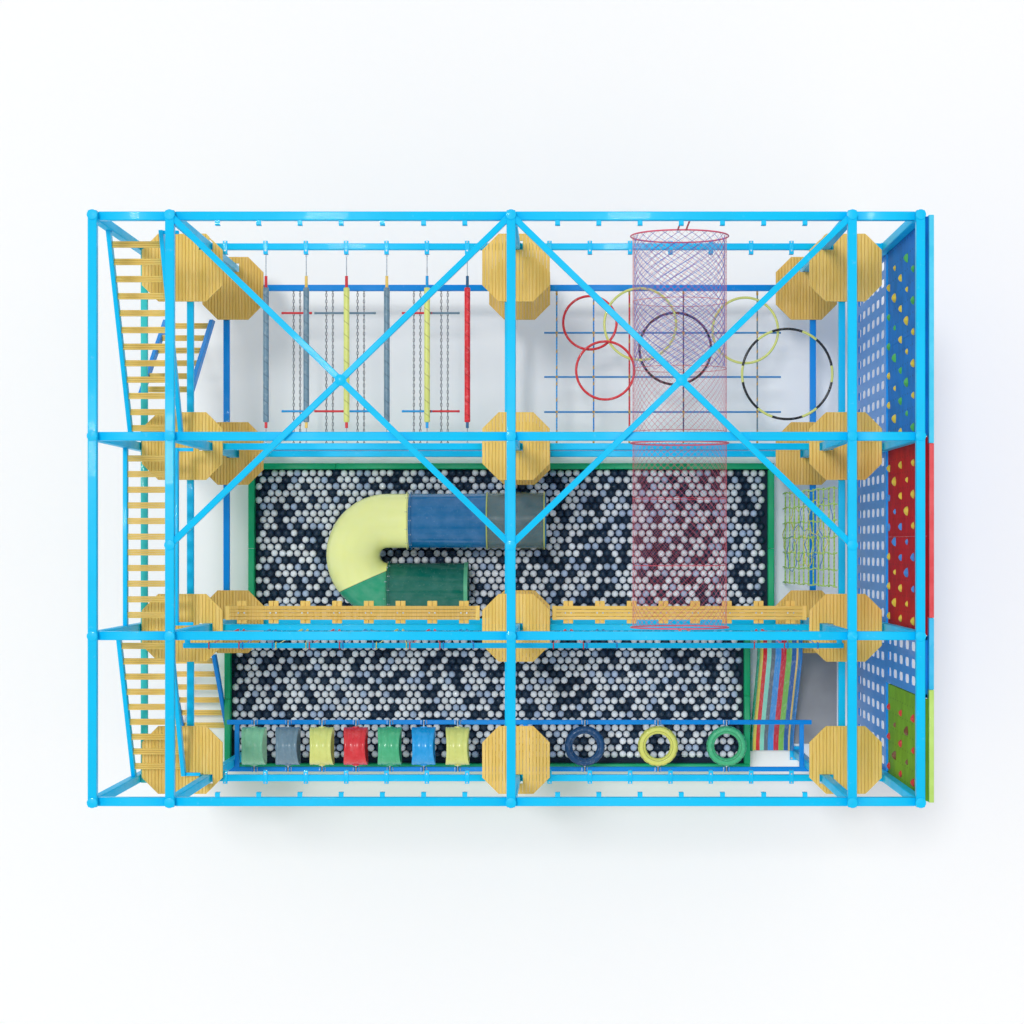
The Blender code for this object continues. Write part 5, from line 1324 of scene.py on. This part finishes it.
bag = Bag()
endBars(bag, 1, -3.8300, -0.0460)
stepTints = (("stepRed", "red"), ("stepSky", "sky"), ("stepGrey", "greyBlue"))
stepOrder = (0, 1, 2, 0, 2, 1, 0, 1, 2, 0)          # tints of the step bars, two to a pair of chains
r, long = chain["barRadius"], chain["bar"] / 2
stepBar = ((0.0005, -long), (r * 0.8, -long), (r, -long + 0.004), (r, -long + 0.03), (r * 0.9, -long + 0.034),
           (r * 0.9, long - 0.034), (r, long - 0.03), (r, long - 0.004), (r * 0.8, long), (0.0005, long))
for number, offset in enumerate(chain["offsets"]):
    x = columns[1] + offset
    for sign in (-1, 1):
        y = np.arange(frontEdge + 0.010, backEdge - 0.005, chain["pitch"])
        sag = chain["sag"] * np.sin(math.pi * (y - frontEdge) / (backEdge - frontEdge))
        strand = x + sign * chain["apart"] / 2
        places = np.stack([np.full_like(y, strand), y, netLevel - sag], -1)
        matrix = np.where((np.arange(len(y)) % 2 == 0)[:, None, None], np.eye(3)[None], upright[None])
        repeat(bag, linkPoints, linkFaces, places, matrix, 0)
        for y0 in (frontEdge - 0.002, backEdge - 0.010):   # shackle plates on the bars
            block(bag, (strand - 0.014, y0, netLevel - 0.012), (strand + 0.014, y0 + 0.012, netLevel + 0.012),
                  0.003, 2)
    for place, inset in enumerate(chain["insets"]):
        lathe(bag, stepBar, (x, backEdge - inset, netLevel + 0.008), (1, 0, 0), 14,
              3 + stepOrder[number * 2 + place])
steps = [moulded(name, colours[tint]) for name, tint in stepTints]
chainDark = bareSteel("chainDark", colours["chain"], 0.38, 0.8)
bag.build("chainWalk", "frame", "chain_steel", [chainDark, steelDeep, boltSteel, *steps], ["chain_walk"])
print("chain walk built")


# rope grid: laid ropes, cross bars and hoops lashed flat on them
ropes = {
    "offsets": (0.485, 0.97, 1.44, 2.15, 3.12), "radius": 0.0105, "bar": 0.0125, "insets": (0.55, 1.13, 1.59),
    "margin": 0.32,
    "hoop": 0.0165, "layer": 0.027,
    "tints": ("sky", "frameDeep", "red", "ink", "greyBlue"),
    # across from the middle posts, in from the back bar, radius, layer and tint of each hoop
    "hoops": ((0.92, 0.42, 0.35, 0, "red"), (2.04, 0.76, 0.47, 0, "ink"), (2.96, 0.52, 0.43, 0, "lime"),
              (1.58, 0.44, 0.47, 1, "lime"), (1.12, 1.05, 0.38, 2, "red")),
    "largeHoop": (3.50, 1.10, 0.59), "largeLevel": 1.2815,
}


def laidRope(bag, path, radius, slot, lay=0.045, up=(0, 0, 1)):
    # three strands wound round the path: each runs at half the radius and turns once a lay
    path = np.asarray(path, float)
    along = unit(np.gradient(path, axis=0))
    side = unit(np.cross(along, np.array(up, float)))
    rise = np.cross(side, along)
    for phase in turns(3):
        turn = lengths(path) / lay * 2 * math.pi + phase
        wound = path + (side * np.cos(turn)[:, None] + rise * np.sin(turn)[:, None]) * radius * 0.46
        sweep(bag, wound, circle(radius * 0.56, 6), up=up, slot=slot)


def ropeRun(start, end, sag=0.0, pitch=0.009):
    # points from start to end, sagging as a parabola
    start, end = np.array(start, float), np.array(end, float)
    share = np.linspace(0, 1, max(4, int(np.linalg.norm(end - start) / pitch)))
    path = start + (end - start) * share[:, None]
    path[:, 2] -= sag * 4 * share * (1 - share)
    return path


bag = Bag()
endBars(bag, 2, -0.0340, 3.9300)
ropeFinishes = [moulded("gridBarBlue", rgb(40, 140, 205)), steelDeep,
                *(twisted("rope" + tint.capitalize(), colours[tint], colours["gold"])
                  for tint in ropes["tints"]),
                twisted("lashing", colours["gold"])]
lashing = len(ropeFinishes) - 1
whipping = ((0.0005, -0.026), (0.0115, -0.026), (0.0135, -0.020), (0.0135, 0.020), (0.0115, 0.026),
            (0.0005, 0.026))
for number, offset in enumerate(ropes["offsets"]):
    x = columns[2] + offset
    twin = number == 2                                  # the middle line is two thin ropes
    for shift in (-0.006, 0.006) if twin else (0.0,):
        line = ropeRun((x + shift, frontEdge - 0.004, netLevel), (x + shift, backEdge + 0.004, netLevel),
                       0.004)
        laidRope(bag, line, ropes["radius"] * (0.6 if twin else 1), 2 + number)
    for y in (frontEdge + 0.030, backEdge - 0.030):     # whipped ends by the bars
        lathe(bag, whipping, (x, y, netLevel), (0, 1, 0), 12, lashing)
barLevel = netLevel + ropes["bar"]
left, right = columns[2] + ropes["margin"], columns[3] - ropes["margin"]
span = right - left
crossBar = ((0.0005, 0), (0.010, 0), (ropes["bar"], 0.003), (ropes["bar"], span - 0.003), (0.010, span),
            (0.0005, span))
lash = ((0.0125, -0.016), (0.0165, -0.013), (0.0165, 0.013), (0.0125, 0.016))
for inset in ropes["insets"]:
    y = backEdge - inset
    lathe(bag, crossBar, (left, y, barLevel), (1, 0, 0), 12)
    for offset in ropes["offsets"]:                      # lashings where bar and rope cross
        lathe(bag, lash, (columns[2] + offset, y, barLevel), (1, 0, 0), 12, lashing, closed=True)
bag.build("ropeGrid", "frame", "ropes", ropeFinishes, ["rope_grid"])


def hoop(bag, centre, radius, tube, tape=0):
    # a ring of round tube, with that many stretches of tape in the next slot
    sweep(bag, ringPath(centre, radius, turns(96)), circle(tube, 12), loop=True)
    for middle in turns(tape):
        bend = middle + np.linspace(-0.35, 0.35, 12) * math.pi / tape
        sweep(bag, ringPath(centre, radius, bend), circle(tube * 1.03, 12), slot=1)


def hoopSkin(name, colour):
    # glossy tube with pale scuffs
    paint = Paint(name, 0.3, 0.0, 0.3)
    scuff = paint.noise(24, 5).soft(0.55, 0.72)
    paint.feed("Base Color", paint.mix(colour, lighter(colour, 0.4), scuff * 0.35))
    paint.feed("Roughness", 0.26 + scuff * 0.25)
    paint.bump(paint.noise(120, 2), 0.08, 0.0004)
    return paint.material


hoopLevel = netLevel + 0.0325          # on the cross bars; each layer lies over the one below
for number, (across, inset, radius, layer, tint) in enumerate(ropes["hoops"]):
    bag = Bag()
    hoop(bag, (columns[2] + across, backEdge - inset, hoopLevel + layer * ropes["layer"]), radius,
         ropes["hoop"])
    colour = colours[tint] if tint != "ink" else rgb(22, 26, 34)
    bag.build(f"hoop{number + 1}", "frame", "ropes", [hoopSkin(f"hoopSkin{number + 1}", colour)])
bag = Bag()
across, inset, radius = ropes["largeHoop"]
hoop(bag, (columns[2] + across, backEdge - inset, ropes["largeLevel"]), radius, ropes["hoop"], tape=6)
hoopFinishes = [hoopSkin("hoopBlack", rgb(18, 20, 26)), hoopSkin("hoopTape", colours["lime"])]
bag.build("largeHoop", "frame", "hoop_black", hoopFinishes, ["large_hoop"])
print("rope grid and hoops built")


# net tunnel: crossing strands round rings, hung from the top rails
tunnel = {
    "x": 1.99, "z": 4.42, "radius": 0.56, "strands": 42, "turns": 1.36, "cord": 0.0012,
    "innerTurns": 0.75, "innerCord": 0.0026, "hungFrom": 6.045,
    "stops": (3.23, 0.80, -1.365),
}


def tunnelRing(radius, y, angle):
    # a ring of points round the tunnel's line
    return ringPath((tunnel["x"], y, tunnel["z"]), radius, angle, second=(0, 0, 1))


def helix(bag, radius, start, end, winds, phase, cord, slot, steps=110):
    # a strand that winds round the tunnel's line as it goes along
    share = np.linspace(0, 1, steps)
    path = tunnelRing(radius, 0, phase + share * winds * 2 * math.pi)
    path[:, 1] = start + (end - start) * share
    sweep(bag, path, circle(cord, 4), up=(0.3, 0.1, 1), slot=slot)


def netRope(name, colour, second):
    # knitted cord: dark rings at an even pitch, painted shade in the dips between knit loops, and two tones
    # in soft patches
    paint = Paint(name, 0.8, sheen=0.4)
    knit = (paint.axes(paint.run())[0] / 0.018).calculate("FRACT").near(0.5, 0.2)
    tone = paint.mix(colour, second, paint.noise(5, 3).soft(0.4, 0.65))
    # the knit rings are darkened as painted shade
    paint.feed("Base Color", paint.mix(tone, darker(colour, 0.55), knit * 0.5))
    paint.feed("Roughness", 0.75 + knit * 0.1)
    paint.bump(1 - knit, 0.4, 0.001)
    return paint.material


bag = Bag()
front, back = tunnel["stops"][2] - 0.015, tunnel["stops"][0] + 0.015
for strand, phase in enumerate(turns(tunnel["strands"])):
    for sign in (-1, 1):
        radius = tunnel["radius"] - 0.010 + 0.0024 * sign
        helix(bag, radius, front + 0.01, back - 0.01, sign * tunnel["turns"], phase, tunnel["cord"], 0)
        if strand % 2 == 0:       # the violet net inside the rear end
            helix(bag, tunnel["radius"] - 0.030, rows[1] + 0.9, back - 0.012, sign * tunnel["innerTurns"],
                  phase,
                  tunnel["innerCord"], 3, 50)
for y in tunnel["stops"]:
    sweep(bag, tunnelRing(tunnel["radius"] + 0.014, y, turns(72)), circle(0.0095, 10), loop=True,
          up=(0, 1, 0), slot=1)
    for sign in (-1, 1):
        x = tunnel["x"] + sign * 0.048
        laidRope(bag, ropeRun((x, y, tunnel["z"] + tunnel["radius"] + 0.004), (x, y, tunnel["hungFrom"])),
                 0.011, 2,
                 up=(1, 0, 0))
for share in (0.16, 0.33, 0.50, 0.66, 0.83):              # cord hoops between the rings
    path = tunnelRing(tunnel["radius"] - 0.010, front + (back - front) * share, turns(72))
    sweep(bag, path, circle(0.0035, 6), loop=True, up=(0, 1, 0), slot=2)
tunnelFinishes = [netRope("netPink", rgb(220, 112, 136), rgb(230, 78, 96)),
                  moulded("tunnelRing", rgb(232, 92, 120)),
                  twisted("tunnelRope", rgb(215, 55, 80)),
                  netRope("netViolet", colours["violet"], rgb(90, 120, 220))]
bag.build("netTunnel", "frame", "tunnel_net", tunnelFinishes, ["net_tunnel"])
print("net tunnel built")


# scramble net: knotted strands from beside the pit to the deck beam
web = {"columns": 7, "rows": 11, "width": 1.20, "rope": 0.009, "middle": (rows[1] + rows[2]) / 2,
       "foot": (columns[3] - 0.20, 0.16), "head": (columns[3] + 0.20 - 0.04 - 0.018, 3.52)}
bag = Bag()
foot = np.array((web["foot"][0], web["middle"], web["foot"][1]))
head = np.array((web["head"][0], web["middle"], web["head"][1]))
share = np.linspace(0, 1, 90)
knotShape = ((0.0005, -0.014), (0.012, -0.011), (0.016, 0), (0.012, 0.011), (0.0005, 0.014))
for column in range(web["columns"]):
    y = web["width"] * (column / (web["columns"] - 1) - 0.5)
    path = foot + (head - foot) * share[:, None] + np.array((0, y, 0))
    path[:, 1] += 0.010 * np.sin(share * 30 + column)
    path[:, 0] -= 0.018 * np.sin(share * math.pi) * math.cos(column)
    sweep(bag, path, circle(web["rope"], 6), up=(0, 1, 0), slot=0)
    for row in range(web["rows"]):
        knot = foot + (head - foot) * ((row + 0.5) / web["rows"]) + np.array((0, y, 0))
        lathe(bag, knotShape, knot, (0, 1, 0), 8, 1)
for row in range(web["rows"]):
    point = foot + (head - foot) * ((row + 0.5) / web["rows"])
    across = np.linspace(-web["width"] / 2 - 0.017, web["width"] / 2 + 0.017, 40)
    path = point + np.stack([np.zeros(40), across, 0.010 * np.sin(across * 16 + row)], -1)
    sweep(bag, path, circle(web["rope"], 6), slot=0)
slant, turn = unit(head - foot), turns(48)
for loop in range(12):        # loops of line woven through the mesh
    spot = foot + (head - foot) * (0.12 + 0.062 * loop)
    wide, tall = 0.20 + 0.05 * math.sin(loop * 2.4), 0.32 + 0.08 * math.cos(loop * 1.7)
    shift = 0.26 * math.sin(loop * 4.1)
    path = ringPath(spot + (0, shift, 0), 1, turn, (0, wide, 0), slant * tall)
    path[:, 0] += 0.008 * np.sin(turn * 6 + loop)
    sweep(bag, path, circle(0.006, 6), loop=True, up=(1, 0.2, 0), slot=2 + loop % 2)
lime, yellow, blue = (twisted("web" + name, colour, roughness=0.7) for name, colour in (
    ("Lime", rgb(176, 222, 70)), ("Yellow", rgb(232, 226, 80)), ("Blue", rgb(70, 140, 205))))
knotPaint = netRope("webKnot", rgb(150, 205, 60), rgb(200, 230, 90))
bag.build("scrambleNet", "frame", "web_net", [lime, knotPaint, yellow, blue], ["web_net"])
print("scramble net built")


# plank bridges: a grooved plank on cross blocks, in each bay of the third row
bridge = {
    "inboard": 0.18, "width": 0.17, "thick": 0.04, "level": 3.569, "blocks": 8, "pitch": 0.385,
    "overhang": 0.06, "rail": 0.06, "railZ": 5.0, "railOut": 0.155, "rope": 0.0072, "spread": 0.173,
    "sleeve": (0.06, 0.34),      # where a grip sleeve starts and ends along its rope
    "tunnelGap": 0.68,           # no ropes within this of the tunnel's line
}
line = rows[2] + bridge["inboard"]
railY = rows[2] - bridge["railOut"]
spans = ((-3.47, -0.39), (0.49, 3.57))
blockShifts = bridge["pitch"] * (np.arange(bridge["blocks"]) - (bridge["blocks"] - 1) / 2)
nearSide, farSide = line - bridge["width"] / 2, line + bridge["width"] / 2
top, under = bridge["level"], bridge["level"] - bridge["thick"]
# the left plank takes the deck wood darkened as painted shade
for side, (low, high), plank in (("Left", spans[0], paintedShadeWood), ("Right", spans[1], treadWood)):
    bag = Bag()
    for strip in range(4):
        y = nearSide + bridge["width"] * (strip + 0.5) / 4
        block(bag, (low, y - 0.0195, under), (high, y + 0.0195, top - 0.0005), 0.004, 0, strip * 0.3)
    for index, x in enumerate((low + high) / 2 + blockShifts):
        for middle in (x - 0.0305, x + 0.0305):
            block(bag, (middle - 0.0285, nearSide - bridge["overhang"] + 0.015, under - 0.049),
                  (middle + 0.0285, farSide + bridge["overhang"] - 0.001, under + 0.001), 0.005, 1,
                  index * 0.13)
        for shift in (-0.035, 0.035):
            hexBolt(bag, x + shift, line, top - 0.001, 0.008, 0.008, 2)
    for x, inward in ((low, 0.05), (high, -0.05)):
        block(bag, (x, nearSide - 0.001, under - 0.004), (x + inward, farSide + 0.001, top + 0.0005), 0.003,
              1)
    bag.build("beamBridge" + side, "frame", "timber", [plank, deckWood, boltSteel],
              ["beam_bridge_" + side.lower()])

bag = Bag()
railZ = bridge["railZ"]
squareTube(bag, (columns[1] - half + 0.0005, railY, railZ), (columns[3] + half - 0.0005, railY, railZ),
           bridge["rail"])
postFace = rows[2] - half
for x in columns[1:4]:
    beam(bag, (x, railY, railZ), (x, postFace - 0.0008, railZ), 0.0590, 0.0590, 0.008)
    block(bag, (x - 0.045, postFace - 0.009, railZ - 0.045), (x + 0.045, postFace - 0.001, railZ + 0.045),
          0.003)
low, high = bridge["sleeve"]
sleeve = ((0.0085, low), (0.0150, low + 0.004), (0.0160, low + 0.02), (0.0145, (low + high) / 2),
          (0.0160, high - 0.02), (0.0150, high - 0.004), (0.0085, high))
turn = turns(16)
# a turn of rope round the rail, squared like the rail by the root of cosine and sine
lap = 0.0385 * np.stack([turn * 0, np.sign(np.cos(turn)) * np.abs(np.cos(turn)) ** 0.5,
                         np.sign(np.sin(turn)) * np.abs(np.sin(turn)) ** 0.5], -1)
for low, high in spans:
    for index, x in enumerate((low + high) / 2 + blockShifts):
        if abs(x - tunnel["x"]) < bridge["tunnelGap"]:
            continue
        slot = 1 + index % 3
        for sign in (-1, 1):
            start = np.array((x + sign * 0.03, railY + 0.134, top - 0.025))
            centre = np.array((x + sign * bridge["spread"], railY, railZ))
            end = centre + (0, 0, 0.01)
            laidRope(bag, ropeRun(start, end, pitch=0.02), bridge["rope"], slot, lay=0.06, up=(0, 1, 0))
            lathe(bag, sleeve, start, unit(end - start), 10, slot + 3)
            sweep(bag, centre + lap, circle(0.0058, 6), loop=True, up=(1, 0, 0), slot=slot)
railFinishes = [twisted("railRopeRed", rgb(226, 40, 50)), twisted("railRopeBlue", rgb(50, 130, 220)),
                twisted("railRopeYellow", rgb(235, 225, 110)), moulded("gripRed", colours["red"]),
                moulded("gripBlue", colours["sky"]), moulded("gripYellow", colours["yellow"])]
bag.build("bridgeHandrail", "frame", "ropes", [steelBlue, *railFinishes], ["bridge_handrail"])
print("bridges built")


# swinging drums and tyres: ring pieces on pins between two carriers in front of the frame
swing = {
    "carrier": 0.06, "z": 1.46, "gap": 0.55, "pivotRise": 0.026, "cheek": 0.018, "cheekGap": 0.0145,
    "pin": 0.013,
    "drumFirst": 0.31, "drumPitch": 0.44, "drumRadius": 0.245, "drumWall": 0.020, "drumLength": 0.31,
    "scallop": 0.022,
    "tyreOffsets": (0.85, 1.80, 2.69), "tyreRadius": 0.262, "tyreTube": 0.052, "crown": 1.25,
}
frontCarrier = rows[3] - half - swing["carrier"] / 2 - 0.0005
backCarrier = frontCarrier + swing["gap"] + swing["carrier"]
pivotY = (frontCarrier + backCarrier) / 2
pivotZ = swing["z"] + swing["carrier"] / 2 + swing["pivotRise"]
drumSpots = [columns[1] + swing["drumFirst"] + swing["drumPitch"] * index for index in range(7)]
tyreSpots = [columns[2] + offset for offset in swing["tyreOffsets"]]
bag = Bag()
tube = swing["carrier"] / 2
level, carrierTop = swing["z"], swing["z"] + tube
for y in (frontCarrier, backCarrier):
    squareTube(bag, (columns[1] - half, y, level), (columns[3] + half, y, level), swing["carrier"])
for column, side in ((1, 1), (2, 1), (3, -1)):
    x = columns[column] + side * (half + 0.0005 + tube)
    beam(bag, (x, frontCarrier, level), (x, backCarrier, level), 0.0590, 0.0586, 0.008)
for x in drumSpots + tyreSpots:
    for y in (frontCarrier, backCarrier):
        for sign in (-1, 1):        # cheeks on both sides of the pin, on a plate
            low = x + sign * swing["cheekGap"]
            block(bag, (low, y - 0.0290, carrierTop - 0.002),
                  (low + sign * swing["cheek"], y + 0.0290, carrierTop + 0.050), 0.004)
        block(bag, (x - 0.040, y - 0.0293, carrierTop - 0.006), (x + 0.040, y + 0.0293, carrierTop + 0.003),
              0.003, 1)
bag.build("swingCarriers", "frame", "beam_deep_blue", [steelDeep, boltSteel], ["swing_carriers"])


def pins(bag, x, reach):
    # a steel pin out to each carrier, with a lock nut against the ring
    end, thin = abs(frontCarrier - pivotY) + 0.024, swing["pin"] - steel["under"]
    pin = ((0.0005, reach - 0.010), (thin, reach - 0.010), (thin, end - 0.003), (swing["pin"] * 0.8, end),
           (0.0005, end))
    nut = ((0.0205, reach - 0.002), (0.0205, reach + 0.008), (0.0130, reach + 0.009))
    for sign in (-1, 1):
        for profile, sides in ((pin, 16), (nut, 6)):
            lathe(bag, profile, (x, pivotY, pivotZ), (0, sign, 0), sides, 1)


def drumSkin(name, colour, inside):
    # moulded drum: the bore takes its own tone (on most drums the outside colour darkened as painted shade),
    # with scuffs where feet land
    paint = Paint(name, 0.3, 0.0, 0.2)
    own = paint.axes(paint.run())[2]
    scuff = paint.noise(26, 6, stretch=(1, 0.4, 1)).soft(0.58, 0.74)
    mottle = paint.noise(9, 4).soft(0.3, 0.7)
    tone = paint.mix(darker(colour, 0.93), lighter(colour, 0.03), mottle)
    tone = paint.mix(tone, inside, own > 0.5)
    paint.feed("Base Color", paint.mix(tone, lighter(colour, 0.35), scuff * 0.12))
    paint.feed("Roughness", 0.27 + scuff * 0.25)
    paint.bump(paint.noise(200, 2), 0.12, 0.0005)
    return paint.material


drumTints = (("green", "barrel_green"), ("greyBlue", "barrel_grey_blue"), ("lime", "barrel_lime"),
             ("red", "barrel_red"),
             ("green", "barrel_green"), ("sky", "barrel_blue"), ("lime", "barrel_lime"))
sides = 56
angle = turns(sides)
radius, skin = swing["drumRadius"], swing["drumWall"]
# sink under the radius and share of the half length of each ring of points: over half of the outside with
# its two grooves, and through half of the bore; the other halves mirror them
outside = np.array([(0.004, 1.0), (0, 0.965), (0, 0.72), (0.004, 0.68), (0.004, 0.62), (0, 0.58), (0, 0.10),
                    (0.003, 0.05)])
inside = np.array([(skin - 0.004, 1.0), (skin, 0.965), (skin, 0.3)])
rings = np.concatenate([outside * (1, -1), outside[::-1], inside, inside[::-1] * (1, -1)])
reach = swing["drumLength"] / 2 - swing["scallop"] * np.sin(angle) ** 2
shell = np.stack([rings[:, 1:] * reach, (radius - rings[:, :1]) * np.cos(angle),
                  (radius - rings[:, :1]) * np.sin(angle)], -1)
run = np.zeros(shell.shape)
run[..., 0] = rings[:, 1:]
run[2 * len(outside):, :, 2] = 1.0        # marks the bore
boss = ((0.0005, radius - 0.012), (0.050, radius - 0.012), (0.046, radius + 0.004), (0.036, radius + 0.010),
        (0.0005, radius + 0.010))
for index, (x, (tint, slotName)) in enumerate(zip(drumSpots, drumTints)):
    number, centre = index + 1, np.array((x, pivotY, pivotZ))
    bag = Bag()
    bag.add(centre + shell, tubeFaces(len(rings), sides, True), 0, run)
    for sign in (-1, 1):      # moulded boss round each pin
        lathe(bag, boss, centre, (0, sign, 0), 24)
    pins(bag, x, radius + 0.010)
    colour = rgb(128, 200, 158) if index == 0 else colours[tint]        # the first one is the palest
    # the first drum's bore is its own pale green; the others' bores are the outside colour darkened as
    # painted shade
    pale = rgb(190, 232, 200) if index == 0 else darker(colour, 0.8)
    bag.build(f"drum{number}", f"barrel_{number}", slotName,
              [drumSkin(f"drumSkin{number}", colour, pale), boltSteel],
              [f"barrel_{number}"], sharp=45)


def tyreSkin(name, colour):
    # rubber: dust over it, the pressed grooves darkened as painted shade, fine grain
    paint = Paint(name, 0.5, 0.0, 0.05)
    groove = paint.axes(paint.run())[2] > 0.5
    dust = paint.noise(30, 5).soft(0.5, 0.72)
    tone = paint.mix(colour, lighter(colour, 0.22), dust * 0.5)
    # the pressed grooves are darkened as painted shade
    paint.feed("Base Color", paint.mix(tone, darker(colour, 0.55), groove))
    paint.feed("Roughness", 0.46 + dust * 0.25)
    paint.bump(paint.noise(170, 3), 0.2, 0.0008)
    return paint.material


tyreTints = (("ink", "tyre_navy"), ("yellow", "tyre_yellow"), ("green", "tyre_green"))
sides, section = 72, 40
turn, angle = turns(section), turns(sides)[:, None]
# the section is a fat round, flattened at the tread, with lines pressed into tread and sidewall
wide = np.sign(np.cos(turn)) * np.abs(np.cos(turn)) ** 0.85 * swing["tyreTube"]
tall = np.sign(np.sin(turn)) * np.abs(np.sin(turn)) ** 0.85 * swing["tyreTube"] * swing["crown"]
groove = np.isin(np.arange(section), (2, 38, 5, 35, 12, 28))
tread = (turn < 0.75) | (turn > 2 * math.pi - 0.75)
lug = (np.arange(sides) % 4 == 0)[:, None] & tread
shrink = np.where(groove, 0.93, 1.0) * np.where(lug, 0.94, 1.0)
radius = swing["tyreRadius"] - swing["tyreTube"] + wide * shrink
ring = np.stack([radius * np.cos(angle), radius * np.sin(angle), tall * shrink], -1)
run = np.zeros(ring.shape)
# marks the pressed grooves, which the tyre skin darkens as painted shade
run[..., 2] = shrink < 0.99
for number, (x, (tint, slotName)) in enumerate(zip(tyreSpots, tyreTints), 1):
    bag = Bag()
    bag.add(ring + (x, pivotY, pivotZ), tubeFaces(sides, section, True), 0, run)
    pins(bag, x, swing["tyreRadius"] - 0.004)
    bag.build(f"tyre{number}", f"tyre_{number}", slotName,
              [tyreSkin(f"tyreSkin{number}", colours[tint]), boltSteel],
              [f"tyre_{number}"], sharp=50)
print("drums and tyres built")


# floor, light and the pale surround, none of it part of the object
light = {"floor": (1, 1, 1, 1), "size": 40, "sun": 1.12, "sunAngle": 9, "tilt": 8.5, "world": 0.67}
floorMesh = bpy.data.meshes.new("showFloor")
size = light["size"]
corners = [(x, y, -0.003) for x, y in ((-size, -size), (size, -size), (size, size), (-size, size))]
floorMesh.from_pydata(corners, [], [(0, 1, 2, 3)])
floor = linked("showFloor", floorMesh)
floorPaint = Paint("showFloorPaint", 0.9)
floorPaint.shader.inputs["Base Color"].default_value = light["floor"]
floorMesh.materials.append(floorPaint.material)

sunData = bpy.data.lights.new("softSun", "SUN")
sunData.energy = light["sun"]
sunData.angle = math.radians(light["sunAngle"])
sun = linked("softSun", sunData)
sun.rotation_euler = (math.radians(-light["tilt"]), math.radians(-light["tilt"]), 0)

world = bpy.data.worlds.new("paleWorld")
bpy.context.scene.world = world
world.use_nodes = True
nodes, links = world.node_tree.nodes, world.node_tree.links
background = nodes["Background"]
background.inputs["Color"].default_value = (1, 1, 1, 1)
ray = nodes.new("ShaderNodeLightPath")      # white where the world is seen, straight or mirrored
seen = ray.outputs["Is Camera Ray"]
for output in ("Is Glossy Ray", "Is Transmission Ray"):
    either = nodes.new("ShaderNodeMath")
    either.operation = "MAXIMUM"
    links.new(seen, either.inputs[0])
    links.new(ray.outputs[output], either.inputs[1])
    seen = either.outputs[0]
strength = nodes.new("ShaderNodeMapRange")
strength.inputs["To Min"].default_value, strength.inputs["To Max"].default_value = light["world"], 1.0
links.new(seen, strength.inputs["Value"])
links.new(strength.outputs["Result"], background.inputs["Strength"])
bpy.context.scene.view_settings.view_transform = "Standard"
